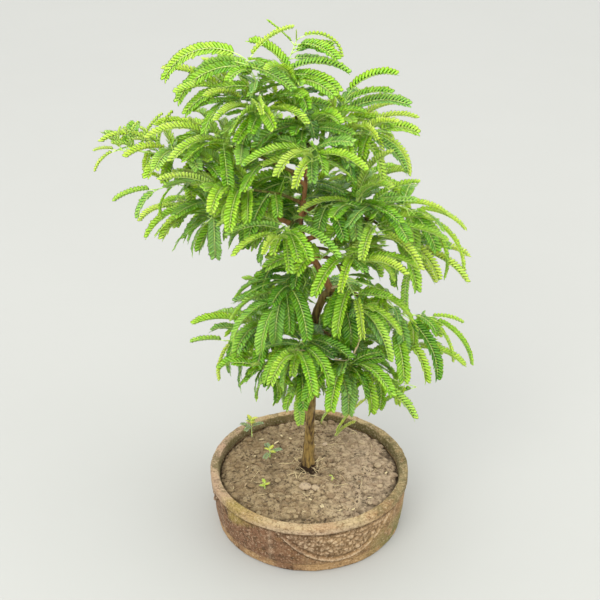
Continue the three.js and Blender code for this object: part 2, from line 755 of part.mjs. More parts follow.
// The first of a frond's tries that has room, or undefined.
function placeFrond(wish, owner, fronds, room) {
  for (let attempt = 0; attempt < FROND_TRIES; attempt += 1) {
    const frond = tryFrond(wish, attempt);
    const points = frond.samples(0);
    const high = points.every((point) => point.z >= LOWEST_LEAF);
    const apart = fronds.every((other) => (
      keepApart(frond.samples(OUTER_STATION), other.samples(OUTER_STATION), ROOM_WITHIN_SPRAY)
    ));
    if (high && apart && room.isClear(points, owner)) {
      return frond;
    }
  }
  return undefined;
}

// Grows all the sprays, one after the other, each clear of the wood and of those before it.
function growSprays() {
  const room = new Room();
  LIMBS.forEach((limb) => {
    const curve = curves[limb.name];
    const steps = WOOD_SAMPLES * (curve.points.length - 1);
    room.take(curve.getPoints(steps), "wood", ROOM_TO_WOOD + limb.thick / 2);
  });
  const sprays = [];
  planSprays().forEach((plan, order) => {
    const draw = makeDraw(SEED * 100 + order * 13);
    const twig = placeTwig(plan, draw, room);
    if (!twig) {
      return;
    }
    const count = plan.atEnd ? END_FRONDS : SIDE_FRONDS;
    const fronds = [];
    for (let index = 0; index < count; index += 1) {
      const wish = wishFrond(plan, twig, index, count, order, draw);
      const frond = placeFrond(wish, plan.name, fronds, room);
      if (frond) {
        fronds.push(frond);
      }
    }
    if (fronds.length < FEWEST_FRONDS) {
      return;
    }
    room.take(twig.samples(), plan.name, ROOM_TO_TWIG);
    fronds.forEach((frond) => room.take(frond.samples(0), plan.name, ROOM_BETWEEN_SPRAYS));
    sprays.push({ plan, twig, fronds });
  });
  return sprays;
}

function twigSolid(twig) {
  const radiusAt = (share) => THREE.MathUtils.lerp(TWIG_ROOT_RADIUS, TWIG_TIP_RADIUS, share);
  return solidOf(taperedTube((share) => twig.at(share), radiusAt, TWIG_SIDES, TWIG_STEPS));
}

function makeSpray({ plan, twig, fronds }) {
  const blades = fronds.map((frond) => frondSolid(frond, LEAFLET_PAIRS));
  const age = fronds.reduce((sum, frond) => sum + frond.age, 0) / fronds.length;
  const colour = COLOURS.youngLeaf.clone().lerp(COLOURS.oldLeaf, age);
  return meshOf(plan.name, geometryOf(joined([twigSolid(twig), ...blades])), colour);
}

// Radius of a limb at a share of its route. The trunk flares out where it enters the soil.
function limbRadius(limb, curve, share) {
  if (limb !== TRUNK) {
    return THREE.MathUtils.lerp(limb.thick, LIMB_TIP_RADIUS, share);
  }
  const radius = THREE.MathUtils.lerp(limb.thick, limb.thin, share);
  const above = Math.max(0, curve.getPoint(share).z - SOIL_EDGE_HEIGHT - SOIL_MOUND);
  return radius + ROOT_FLARE * Math.exp(-above / FLARE_LENGTH);
}

function limbSolid(limb) {
  const curve = curves[limb.name];
  const radiusAt = (share) => limbRadius(limb, curve, share);
  const isMain = limb === TRUNK || limb === LEADER;
  const steps = isMain ? TRUNK_STEPS : limb.points.length;
  const sides = isMain ? TRUNK_SIDES : LIMB_SIDES;
  return solidOf(taperedTube((share) => curve.getPoint(share), radiusAt, sides, steps));
}

// The short woody spur that a side spray stands on, from the limb's axis to the twig's foot.
function spurSolid({ plan, twig }) {
  const end = plan.root.clone().addScaledVector(twig.grain, SPUR_LENGTH);
  const routeAt = (share) => plan.root.clone().lerp(end, share);
  return solidOf(taperedTube(routeAt, () => SPUR_RADIUS, SPUR_SIDES, 1));
}

// Trunk, leader, limbs and spurs, grown as one piece.
function makeWood(sprays) {
  const spurs = sprays.filter(({ plan }) => !plan.atEnd).map(spurSolid);
  const wood = joined([...LIMBS.map(limbSolid), ...spurs]);
  return meshOf("tree_wood", geometryOf(wood), COLOURS.wood);
}

// The plain hole that the trunk stands in: the trunk's foot, a little wider all round.
function trunkHole() {
  const curve = curves.trunk;
  const top = SOIL_EDGE_HEIGHT + 2 * SOIL_MOUND;
  const [low] = TRUNK.points;
  const radius = TRUNK.thick + ROOT_FLARE + STEM_HOLE_GAP;
  const start = new THREE.Vector3(low[0], low[1], low[2] - STEM_HOLE_GAP);
  const end = curve.getPoint((top - low[2]) / (TRUNK.points[1][2] - low[2]) / (TRUNK.points.length - 1));
  end.z = top;
  const routeAt = (share) => start.clone().lerp(end, share);
  return solidOf(taperedTube(routeAt, () => radius, TRUNK_SIDES, 1));
}

function weedStemRoute(weed, below) {
  const ground = soilHeight(weed.x, weed.y);
  const foot = new THREE.Vector3(weed.x, weed.y, ground - WEED_STEM_DEPTH - below);
  const top = new THREE.Vector3(weed.x, weed.y, ground + weed.height);
  return (share) => foot.clone().lerp(top, share);
}

function weedHole(weed) {
  const radius = WEED_STEM_RADIUS + STEM_HOLE_GAP;
  return solidOf(taperedTube(weedStemRoute(weed, STEM_HOLE_GAP), () => radius, WEED_HOLE_SIDES, 1));
}

// A small pointed oval leaf from a point, at an azimuth and a rise.
function leafSolid(base, azimuth, rise) {
  const leaf = new THREE.SphereGeometry(1, 5, 3);
  leaf.rotateZ(Math.PI / 2);
  leaf.scale(WEED_LEAF_LENGTH / 2, WEED_LEAF_HALF, WEED_LEAF_THICKNESS);
  leaf.translate(WEED_LEAF_LENGTH / 2, 0, 0);
  leaf.rotateY(-rise);
  leaf.rotateZ(azimuth);
  leaf.translate(base.x, base.y, base.z);
  return solidOf(leaf);
}

function weedFrond(base, azimuth) {
  return new Frond(
    base,
    azimuth,
    WEED_FROND_RISE,
    WEED_FROND_DROOP,
    WEED_FROND_LENGTH,
    WEED_FROND_HALF,
    WEED_FROND_FOLD,
    0,
    0,
  );
}

// A weed: an upright stem with small pinnate leaves, or plain ones, by turns round it.
function makeWeed(weed, order) {
  const routeAt = weedStemRoute(weed, 0);
  const solids = [solidOf(taperedTube(routeAt, () => WEED_STEM_RADIUS, WEED_STEM_SIDES, 1))];
  const total = weed.fronds + weed.leaves;
  for (let index = 0; index < total; index += 1) {
    const azimuth = GOLDEN_ANGLE * index + order;
    const base = routeAt(WEED_TOP_LEAF - (WEED_LEAFY_SHARE * index) / total);
    if (index < weed.fronds) {
      solids.push(frondSolid(weedFrond(base, azimuth), WEED_LEAFLET_PAIRS));
    } else {
      solids.push(leafSolid(base, azimuth, WEED_LEAF_RISE));
    }
  }
  return meshOf(weed.name, geometryOf(joined(solids)), COLOURS.weed);
}

const curves = limbCurves();
const sprays = growSprays();
const tree = new THREE.Group();
tree.add(makePot());
tree.add(makeSoil([trunkHole(), ...WEEDS.map(weedHole)]));
tree.add(makeWood(sprays));
WEEDS.forEach((weed, order) => tree.add(makeWeed(weed, order)));
sprays.forEach((spray) => tree.add(makeSpray(spray)));

export default tree;
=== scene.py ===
"""A young tamarind tree in a low pot of fired clay, dressed for its picture.

Lengths are in millimetres, as in the solid model. A mesh is brought to metres when it is made.
"""
import json
import logging
import math
from dataclasses import dataclass, field
from enum import Enum
from typing import Any, Callable, Dict, List, Optional, Sequence, Tuple, Union

import bpy
import numpy as np
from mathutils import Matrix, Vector, kdtree, noise


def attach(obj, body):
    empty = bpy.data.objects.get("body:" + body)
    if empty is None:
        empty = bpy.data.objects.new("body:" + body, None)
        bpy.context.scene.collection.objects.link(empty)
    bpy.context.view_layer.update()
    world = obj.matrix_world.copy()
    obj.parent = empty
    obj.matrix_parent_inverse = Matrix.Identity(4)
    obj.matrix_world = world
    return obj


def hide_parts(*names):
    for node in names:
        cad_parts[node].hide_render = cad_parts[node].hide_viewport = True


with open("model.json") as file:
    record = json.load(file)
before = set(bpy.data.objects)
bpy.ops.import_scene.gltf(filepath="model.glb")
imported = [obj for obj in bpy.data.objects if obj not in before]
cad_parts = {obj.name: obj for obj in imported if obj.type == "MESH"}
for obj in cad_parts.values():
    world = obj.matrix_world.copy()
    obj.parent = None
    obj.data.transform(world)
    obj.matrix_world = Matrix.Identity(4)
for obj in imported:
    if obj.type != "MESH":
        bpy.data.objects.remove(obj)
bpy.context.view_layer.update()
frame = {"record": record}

logging.basicConfig(level=logging.INFO, format="%(message)s")
log = logging.getLogger("tamarind")

Array = np.ndarray
Point = Tuple[float, float, float]
Colour = Tuple[float, float, float]

METRE = 0.001
BODY = "root"

# Start of Blender's own noise; without one it starts from the clock
NOISE_SEED = 17

# Sizes that the solid model has too
GAP = 0.3
SPUR_LENGTH = 10.0
SEED = 5
GOLDEN_ANGLE = math.radians(137.508)
END_TWIG = (38.0, 54.0)
SIDE_TWIG = (26.0, 40.0)
END_FRONDS = 6
SIDE_FRONDS = 5
FEWEST_FRONDS = 4
TWIG_BEND = 0.4
TWIG_SAG = (0.05, 0.2)
TWIG_SWINGS = (0, 0.3, -0.3, 0.6, -0.6, 0.9, -0.9, 1.2, -1.2)
TWIG_SAMPLES = np.array([0.25, 0.4, 0.55, 0.7, 0.85, 1])
BARE_SHARE = 0.14
LEAN = 0.3
BLUNTNESS = 0.74
FROND_HALF_BREADTH = 14.5
FROND_TRIES = 14
STATIONS = 13
OUTER_STATION = 3
ACROSS = (-1, -0.5, 0, 0.5, 1)
ROOM_BETWEEN_SPRAYS = 6.0
ROOM_WITHIN_SPRAY = 4.0
ROOM_TO_TWIG = 6.0
ROOM_TO_WOOD = 6.5
WOOD_SAMPLES = 9
LOWEST_LEAF = 185.0
LIMB_TIP_RADIUS = 1.7
LAST_SHOOT = 0.9
SHOOT_FORWARD = 0.45
SHOOT_SIDEWARD = 0.9
SHOOT_UPWARD = 0.75
SHOOT_LIFT = 0.25
SHOOT_TURN_DRAW = 0.3
FIRST_FROND = 0.22
FROND_LENGTH = (76, 100)
SHORTER_AT_ENDS = 0.14
SPREAD_AT_FOOT = 78
SPREAD_LOST = 38
SPREAD_DRAW = 8
RISE_YOUNG = 38
RISE_LOST = 34
RISE_DRAW = 10
TWIG_SHARE_OF_RISE = 0.5
DROOP_YOUNG = 55
DROOP_GAINED = 45
DROOP_DRAW = 14
FOLD_YOUNG = 62
FOLD_OLD = -5
FOLD_DRAW = 8
ROLL_DRAW = 14
YOUNGER_OUTWARD = 0.25
OLDER_AT_SIDE = 0.1
AGE_DRAW = 0.12
YOUNGEST = 0.02
TRY_TURN = 0.22
TRY_TIP = 0.12
TRY_DROOP = 0.12
TRY_SHORTEN = 0.015
TRY_ROLL = 0.16

# Sizes of the thin shoots that only the dressed model has
SHOOT_FOOT = 1.3
SHOOT_TIP = 0.55

# Where the streams of random numbers start
CLOD_SEED = 71
STRAW_SEED = 113
FALLEN_SEED = 211
WEED_SEED = 40
SOIL_FROND_SEED = 48
SHOOT_SEED = 500
LOOSE_SEED = 700
SPRAY_SEED = 900
TWIG_LEAF_SEED = 5000
LIMB_LEAF_SEED = 7000

# Steps of a route whose length is measured
LENGTH_STEPS = 20


def vec(*parts: float) -> Array:
    """A point or direction from its three parts."""
    return np.array(parts, float)


def unit(vectors: Array) -> Array:
    """Vectors of the same directions, of length one."""
    return vectors / np.sqrt((vectors ** 2).sum(-1, keepdims=True))


def blend_of(low: float, high: float, share: Union[float, Array]) -> Union[float, Array]:
    """The number at a share of the way between two others."""
    return low + (high - low) * share


def length_of(path: Array) -> float:
    """Length of a path through its points."""
    return np.linalg.norm(np.diff(path, axis=0), axis=1).sum()


def fade(off: Union[float, Array], width: float) -> Union[float, Array]:
    """A bell curve: 1 where nothing is off, near 0 from twice the width on."""
    return np.exp(-(off / width) ** 2)


class Draw:
    """A repeatable stream of numbers, the same as the solid model's."""

    def __init__(self, seed: int) -> None:
        """Starts the stream.

        Args:
            seed: Any whole number; the same one gives the same stream.
        """
        self.state = seed & 0xFFFFFFFF
        for _ in range(4):
            self(0, 1)

    def __call__(self, low: float, high: float) -> float:
        """Draws the next number.

        Args:
            low: The lowest that it may be.
            high: The highest that it may be.

        Returns:
            A number between the two.
        """
        self.state = (self.state * 1664525 + 1013904223) & 0xFFFFFFFF
        return low + (high - low) * (self.state / 4294967296)


@dataclass
class Limb:
    """A limb's route, from its place on another limb outwards, and what it bears."""

    name: str
    on: str
    at: float
    thick: float
    shoots: int
    start: float
    age: float
    size: float
    points: Sequence[Point]
    thin: float = LIMB_TIP_RADIUS
    route: List[Array] = field(default_factory=list)

    def point(self, share: float) -> Array:
        """Point of the smooth curve through the limb's points.

        Args:
            share: Share of the route, from 0 to 1.

        Returns:
            The point.
        """
        last = len(self.route) - 1
        place = last * share
        index = min(int(math.floor(place)), last - 1)
        step = place - index
        here, there = self.route[index], self.route[index + 1]
        before = self.route[index - 1] if index > 0 else 2 * here - there
        after = self.route[index + 2] if index + 2 <= last else 2 * there - here
        leave, arrive = 0.5 * (there - before), 0.5 * (after - here)
        square = -3 * here + 3 * there - 2 * leave - arrive
        cube = 2 * here - 2 * there + leave + arrive
        return here + step * leave + step ** 2 * square + step ** 3 * cube

    def heading(self, share: float) -> Array:
        """Direction of the route at a share of it."""
        before = self.point(max(0.0, share - 0.01))
        return unit(self.point(min(1.0, share + 0.01)) - before)

    def path(self, steps: int) -> Array:
        """The route as evenly spread points, one more than its steps."""
        return np.array([self.point(step / steps) for step in range(steps + 1)])

    def samples(self) -> Array:
        """Points of the route to test its room with."""
        return self.path(WOOD_SAMPLES * (len(self.route) - 1))

    def length(self) -> float:
        """Length of the route."""
        return length_of(self.path(LENGTH_STEPS))


# The trunk and the limbs, as in the solid model
LIMBS = [
    Limb("trunk", "", 0, 7.6, 2, 0.62, 0.75, 1, [
        (-2, 20, 40), (0, 10, 133), (2, 0, 200), (3, 2, 275), (6, 3, 335), (19, 2, 376),
        (31, 0, 388)], 5.6),
    Limb("leader", "trunk", 0.98, 5.2, 5, 0.3, 0.4, 0.9, [
        (17, 4, 412), (-6, 8, 456), (-13, 8, 490), (-8, 6, 530), (-6, 4, 576), (-16, 2, 618),
        (-20, 0, 656)]),
    Limb("left", "leader", 0.39, 3.6, 4, 0.25, 0.35, 0.85, [
        (-50, -8, 506), (-90, -14, 528), (-118, -14, 552), (-140, -12, 577), (-166, -8, 590)]),
    Limb("left_low", "left", 0.45, 2.4, 0, 0.4, 0.5, 1, [(-104, 6, 532), (-118, 14, 524)]),
    Limb("left_under", "left", 0.2, 2.4, 0, 0.5, 0.7, 1, [(-66, 20, 500), (-84, 38, 492)]),
    Limb("left_top", "leader", 0.66, 2.6, 2, 0.4, 0.35, 1, [
        (-38, -24, 584), (-72, -30, 604), (-100, -24, 612)]),
    Limb("upper_left", "leader", 0.78, 2.8, 3, 0.3, 0.3, 1, [
        (-30, -10, 616), (-48, -10, 634), (-66, -6, 646)]),
    Limb("back_left", "leader", 0.62, 2.6, 1, 0.5, 0.55, 1, [(-42, 36, 562), (-76, 50, 576)]),
    Limb("upper_right", "leader", 0.7, 2.8, 3, 0.3, 0.25, 1, [
        (10, 6, 592), (21, 6, 603), (30, 2, 608)]),
    Limb("right", "leader", 0.31, 3.6, 4, 0.3, 0.25, 1, [
        (26, -14, 486), (54, -22, 507), (80, -24, 508), (100, -20, 490)]),
    Limb("mid_right", "leader", 0.23, 2.8, 1, 0.5, 0.35, 1, [(30, -26, 450), (44, -42, 434)]),
    Limb("back_right", "leader", 0.46, 2.6, 1, 0.5, 0.6, 1, [(23, 40, 514), (44, 54, 520)]),
    Limb("side", "trunk", 0.98, 3.4, 2, 0.35, 0.5, 1, [
        (55, -6, 390), (80, -12, 376), (106, -16, 350)]),
    Limb("low_left", "trunk", 0.58, 2.8, 2, 0.35, 0.5, 1, [(-20, -8, 330), (-36, -12, 334)]),
    Limb("low_right", "trunk", 0.64, 2.8, 2, 0.4, 0.6, 1, [(30, -26, 330), (48, -36, 312)]),
    Limb("mid_left", "leader", 0.21, 2.8, 1, 0.5, 0.6, 1, [(-10, -18, 434), (-20, -34, 428)]),
    Limb("front", "trunk", 0.62, 2.6, 1, 0.55, 0.5, 1, [(-2, -30, 342), (-8, -54, 344)]),
    Limb("front_low", "trunk", 0.46, 2.6, 1, 0.5, 0.7, 1, [(20, -26, 288), (34, -44, 298)]),
    Limb("left_foot", "trunk", 0.47, 2.6, 1, 0.5, 0.5, 1, [(-22, -22, 292), (-34, -40, 300)]),
    Limb("front_mid", "leader", 0.43, 2.6, 1, 0.5, 0.35, 1, [(-22, -28, 508), (-28, -52, 512)]),
    Limb("front_right", "leader", 0.27, 2.6, 1, 0.5, 0.35, 1, [(18, -30, 468), (38, -54, 472)]),
    Limb("left_mid", "leader", 0.53, 2.6, 1, 0.5, 0.4, 1, [(-40, -30, 548), (-74, -44, 560)]),
    Limb("front_up", "leader", 0.79, 2.4, 1, 0.5, 0.3, 1, [(-4, -22, 615), (-2, -42, 618)]),
    Limb("back_low", "trunk", 0.65, 2.6, 0, 0.5, 0.7, 1, [(12, 34, 345), (14, 58, 345)]),
    Limb("back_mid", "leader", 0.27, 2.6, 0, 0.5, 0.7, 1, [(-24, 40, 462), (-34, 62, 464)]),
]


@dataclass
class Leaf:
    """A listed leaf: where on its shoot, its tip, and how it lies, in degrees."""

    at: float
    tip: Point
    droop: float
    roll: float
    fold: float
    age: float
    half: float


LeafRow = Tuple[float, Point, float, float, float, float, float]


@dataclass
class Shoot:
    """A thin green shoot that only the dressed model has: its route, and its leaves as rows."""

    name: str
    on: str
    at: float
    points: Sequence[Point]
    leaves: Sequence[LeafRow]


SHOOTS = [
    Shoot("top_left", "upper_left", 0.55, [(-62, -8, 674), (-71, -8, 698), (-82, -8, 722)], [
        (1, (-184, -14, 700), 105, -34, 8, 0.45, 14), (0.85, (-168, -20, 673), 80, -30, 8, 0.55, 14),
        (0.9, (-160, 10, 681), 80, -30, 12, 0.5, 12), (0.45, (-158, -30, 660), 75, -25, 10, 0.4, 13),
        (0.95, (-23, 24, 753), 50, 0, 72, 0.1, 8), (0.7, (-48, 20, 670), 60, 0, 40, 0.3, 9),
    ]),
    Shoot("top", "leader", 0.97, [(-33, 2, 684), (-34, 10, 704), (-24, 20, 723), (-18, 26, 737)], [
        (1, (39, 28, 715), 115, 0, 66, 0.05, 5.5), (0.97, (-19, 28, 749), 20, 0, 75, 0.35, 2.5),
        (0.4, (46, -10, 706), 75, 25, 40, 0.4, 10), (0.35, (34, -30, 689), 70, 25, 20, 0.4, 12),
        (0.25, (27, -46, 689), 75, 25, 10, 0.3, 13),
    ]),
    Shoot("top_right", "upper_right", 0.7, [(35, -4, 632), (39, -6, 652), (45, -6, 672)], [
        (1, (107, -6, 702), 75, 20, 40, 0.3, 12), (0.6, (124, -10, 664), 62, 25, 20, 0.5, 13),
        (0.5, (103, -14, 635), 40, 0, 62, 0.5, 10), (0.35, (51, -60, 659), 60, 0, 10, 0.15, 13),
        (0.8, (14, -30, 682), 70, 0, 30, 0.35, 11),
    ]),
    Shoot("far_right_top", "upper_right", 1, [(58, -12, 625), (71, -14, 625), (84, -16, 629)], [
        (0.8, (127, -22, 573), 85, 0, 58, 0.02, 10), (1, (88, -24, 591), 70, 0, 60, 0, 9),
        (0.9, (103, -16, 622), 50, 0, 60, 0.3, 7), (0.5, (1, -30, 601), 40, 10, 50, 0.1, 11),
        (0.4, (92, -40, 571), 70, 0, 20, 0.2, 12), (0.3, (49, -60, 604), 60, 0, 20, 0.3, 12),
    ]),
    Shoot("left_tip", "left", 0.98, [(-214, -10, 599), (-235, -12, 602), (-252, -12, 602)], [
        (1, (-281, -12, 601), 40, 0, 60, 0.1, 5), (1, (-281, -16, 575), 50, 0, 60, 0.15, 5),
        (0.9, (-244, -12, 634), 30, 0, 70, 0.1, 4), (0.7, (-221, -10, 640), 40, 0, 70, 0.1, 4.5),
        (0.6, (-241, -14, 634), 40, 0, 70, 0.1, 4.5), (0.5, (-255, -20, 614), 50, 0, 60, 0.15, 6),
        (0.4, (-190, -8, 650), 40, 0, 70, 0.1, 5), (0.3, (-213, -30, 583), 60, 0, 40, 0.3, 8),
        (0.2, (-177, -8, 653), 50, 0, 70, 0.2, 5),
    ]),
    Shoot("left_side", "left", 0.72, [(-185, -14, 553), (-204, -16, 548)], [
        (1, (-258, -20, 534), 40, 0, 55, 0.25, 9), (0.9, (-228, -30, 516), 60, 0, 20, 0.6, 10),
        (0.6, (-210, -20, 571), 60, 0, 30, 0.4, 9),
    ]),
    Shoot("lobe_low", "left_low", 0.9, [(-128, -4, 514), (-134, -12, 500)], [
        (1, (-182, -22, 466), 60, 20, 10, 0.6, 12), (0.9, (-158, -30, 462), 70, 30, 10, 0.7, 12),
        (0.6, (-128, -30, 456), 70, 20, 10, 0.7, 12), (0.5, (-206, -20, 484), 60, 10, 15, 0.5, 12),
    ]),
    Shoot("right_top", "right", 0.45, [
        (55, -24, 528), (86, -26, 531), (120, -28, 529), (150, -28, 513)], [
        (0.45, (140, -28, 563), 50, 0, 62, 0.15, 9), (0.7, (179, -30, 518), 60, 0, 50, 0.15, 9),
        (0.85, (204, -30, 497), 60, 0, 50, 0.15, 9), (1, (205, -32, 428), 75, 0, 45, 0.15, 10),
        (0.9, (180, -40, 431), 75, 0, 35, 0.2, 10), (0.8, (135, -50, 459), 80, 0, 10, 0.45, 13),
        (0.3, (-14, -60, 536), 60, 0, 40, 0.15, 11), (0.2, (59, -70, 504), 80, 0, 10, 0.5, 13),
    ]),
    Shoot("right_hang", "right", 0.97, [(125, -30, 472), (137, -32, 449)], [
        (1, (132, -32, 372), 30, 80, 10, 0.6, 6), (0.6, (116, -40, 417), 70, 0, 20, 0.5, 12),
    ]),
    Shoot("side_tip", "side", 0.95, [(130, -22, 364), (146, -22, 361), (163, -22, 358)], [
        (1, (228, -26, 285), 60, 0, 58, 0.35, 9), (0.95, (201, -30, 291), 50, 0, 60, 0.2, 6),
        (1, (212, -24, 350), 40, 0, 65, 0.2, 6), (0.5, (144, -34, 312), 50, 60, 10, 0.3, 13),
        (0.3, (180, -40, 269), 60, 30, 30, 0.75, 12), (0.2, (131, -46, 316), 60, 30, 10, 0.5, 13),
    ]),
    Shoot("low_right_tip", "low_right", 1, [(87, -46, 283), (121, -44, 268), (151, -40, 254)], [
        (1, (108, -40, 228), 20, 0, 70, 0.35, 7), (0.4, (99, -50, 225), 40, 60, 20, 0.6, 9),
    ]),
    Shoot("trunk_front", "front", 0.9, [(-14, -66, 309), (-4, -66, 284)], [
        (1, (-13, -62, 206), 30, 50, 20, 0.4, 11), (0.6, (-36, -70, 255), 50, 30, 10, 0.6, 11),
    ]),
    Shoot("low_left_tip", "low_left", 1, [(-93, -16, 334), (-104, -18, 322), (-118, -18, 317)], [
        (1, (-166, -18, 315), 30, 0, 55, 0.3, 8), (0.7, (-127, -30, 262), 60, 40, 45, 0.05, 10),
        (0.4, (-137, -10, 330), 60, 0, 20, 0.7, 12), (0.2, (-99, -40, 252), 60, 30, 10, 0.7, 12),
        (0.5, (-114, -36, 277), 60, 30, 10, 0.7, 12),
    ]),
    Shoot("pale_arc", "trunk", 0.66, [(11, -34, 302), (-14, -50, 321), (-33, -56, 322)], [
        (1, (-74, -60, 249), 55, 20, 10, 0.35, 12), (0.5, (-39, -64, 261), 55, 20, 10, 0.6, 12),
    ]),
    Shoot("waist_left", "leader", 0.34, [(-25, -10, 438), (-46, -18, 440), (-60, -20, 434)], [
        (1, (-74, -30, 400), 70, 0, 15, 0.6, 11), (0.7, (-65, -40, 411), 70, 0, 10, 0.7, 13),
    ]),
    Shoot("waist_front", "leader", 0.3, [(-10, -22, 432), (-6, -40, 423)], [
        (1, (-14, -60, 391), 70, 0, 10, 0.6, 12), (0.6, (-41, -50, 419), 70, 0, 10, 0.7, 12),
    ]),
    Shoot("middle", "leader", 0.5, [(6, -14, 512), (20, -26, 529), (36, -32, 535)], [
        (1, (67, -44, 511), 70, 0, 10, 0.5, 13), (0.7, (10, -56, 506), 70, 0, 10, 0.6, 13),
    ]),
    Shoot("middle_right", "back_right", 0.8, [(77, 40, 496), (93, 30, 503)], [
        (1, (112, 14, 487), 70, 0, 10, 0.6, 12), (0.6, (57, 10, 501), 60, 0, 10, 0.7, 12),
    ]),
    Shoot("low_middle", "mid_right", 0.7, [(57, -40, 408), (65, -46, 392)], [
        (1, (76, -54, 353), 70, 0, 10, 0.6, 13), (0.5, (40, -60, 381), 70, 0, 10, 0.7, 13),
    ]),
    Shoot("low_far_right", "mid_right", 1, [(100, -46, 411), (108, -46, 395)], [
        (1, (118, -50, 347), 70, 0, 10, 0.5, 13), (0.5, (86, -60, 372), 70, 0, 10, 0.6, 13),
    ]),
    Shoot("skirt_right", "front_low", 0.9, [(50, -56, 299), (54, -58, 281)], [
        (1, (57, -60, 232), 50, 20, 10, 0.6, 12), (0.6, (34, -66, 256), 60, 20, 10, 0.7, 12),
    ]),
    Shoot("skirt_left", "left_foot", 0.95, [(-58, -52, 303), (-53, -54, 285)], [
        (1, (-48, -56, 239), 50, 20, 10, 0.7, 11), (0.6, (-76, -60, 255), 60, 20, 10, 0.7, 11),
    ]),
]


@dataclass(frozen=True)
class Opening:
    """A place where the crown stays open to the camera, and how far back leaves are kept out."""

    x: float
    z: float
    reach: float
    back_to: float = 1000.0


OPENINGS = [Opening(*row) for row in (
    (106, 427, 21), (151, 386, 22), (140, 368, 20), (-242, 561, 26), (-264, 546, 16), (-218, 479, 23),
    (-251, 479, 16), (-121, 451, 14), (-100, 412, 14), (-148, 337, 31), (-136, 282, 17), (172, 299, 14),
    (167, 248, 23), (191, 208, 29), (162, 205, 18), (-62, 740, 15), (-192, 682, 20), (-180, 670, 18),
    (-79, 737, 13), (82, 655, 15), (140, 653, 15), (30, 187, 15), (82, 201, 15), (-196, 625, 16),
    (-171, 650, 13), (-10, 542, 8, 0), (-10, 513, 8, 0), (-6, 484, 10, 0), (4, 458, 11, 0),
    (13, 431, 11, 0), (23, 403, 14, 0), (11, 376, 13, 0), (36, 400, 13, 0), (62, 330, 10, 0),
    (-28, 735, 12), (165, 530, 14), (182, 512, 12), (133, 403, 16), (-136, 482, 14), (104, 570, 14),
    (-290, 572, 24), (-300, 592, 20),
)]


def sample_places() -> Tuple[Array, Array, Array]:
    """Where a leaf's room is tested.

    Returns:
        The share along the rib, the share across, and the station of each place.
    """
    start = BARE_SHARE * 0.8
    rows = []
    for station in range(STATIONS):
        share = start + (1 - start) * station / (STATIONS - 1)
        rows += [(share, across, station) for across in (ACROSS if share > BARE_SHARE else (0,))]
    shares, across, stations = np.array(rows).T
    return shares, across, stations


SAMPLE_SHARES, SAMPLE_ACROSS, SAMPLE_STATIONS = sample_places()


@dataclass(frozen=True)
class Frond:
    """A pinnate leaf's curved rib, and how its leaflets stand to it."""

    base: Array
    azimuth: float
    rise: float
    droop: float
    length: float
    half: float
    fold: float
    roll: float
    age: float

    @classmethod
    def between(cls, base: Array, leaf: Leaf) -> "Frond":
        """The frond from a place on a shoot to a listed leaf's tip, as an arc.

        Args:
            base: Where it stands.
            leaf: The leaf.

        Returns:
            The frond.
        """
        step = vec(*leaf.tip) - base
        chord = float(np.linalg.norm(step))
        half_bend = math.radians(leaf.droop) / 2
        return cls(
            base, math.atan2(step[1], step[0]), math.asin(step[2] / chord) + half_bend, 2 * half_bend,
            chord * half_bend / math.sin(half_bend), leaf.half, math.radians(leaf.fold),
            math.radians(leaf.roll), leaf.age)

    def centre(self, share: Array) -> Array:
        """Points of the rib at shares of its length."""
        slope = self.rise - self.droop * share
        run = self.length * (math.sin(self.rise) - np.sin(slope)) / self.droop
        climb = self.length * (np.cos(slope) - math.cos(self.rise)) / self.droop
        step = [run * math.cos(self.azimuth), run * math.sin(self.azimuth), climb]
        return self.base + np.stack(step, -1)

    def frame(self, share: Array) -> Tuple[Array, Array, Array]:
        """How the leaf lies at shares of its length.

        Args:
            share: The shares.

        Returns:
            The rib's direction, the way out to the left, and the way up off the leaf.
        """
        slope = self.rise - self.droop * np.asarray(share, float)
        ca, sa = math.cos(self.azimuth), math.sin(self.azimuth)
        cs, ss = np.cos(slope), np.sin(slope)
        cr, sr = math.cos(self.roll), math.sin(self.roll)
        along = np.stack([cs * ca, cs * sa, ss], -1)
        flat = np.stack([0 * cs - sa, 0 * cs + ca, 0 * cs], -1)
        up = np.stack([-ss * ca, -ss * sa, cs], -1)
        return along, flat * cr + up * sr, up * cr - flat * sr

    def breadth(self, share: Array) -> Array:
        """Reach of the leaflets at shares of the rib."""
        place = np.clip((share - BARE_SHARE) / (1 - BARE_SHARE), 0, 1)
        return self.half * (BLUNTNESS + (1 - BLUNTNESS) * np.sqrt(np.abs(np.sin(math.pi * place))))

    def samples(self, first: int) -> Array:
        """Points all over the leaf, from a station on, to test its room with."""
        used = SAMPLE_STATIONS >= first
        share, across = SAMPLE_SHARES[used], SAMPLE_ACROSS[used]
        along, left, over = self.frame(share)
        reach = (np.abs(across) * self.breadth(share))[:, None]
        side = np.where(across >= 0, 1, -1)[:, None]
        out = left * (side * math.cos(self.fold)) + over * math.sin(self.fold) + along * LEAN
        return self.centre(share) + out * reach


def keep_apart(points: Array, others: Array, gap: float) -> bool:
    """Whether each point is at least a gap away from all the others."""
    apart = points[:, None, :] - others[None, :, :]
    return bool((apart ** 2).sum(2).min() >= gap * gap)


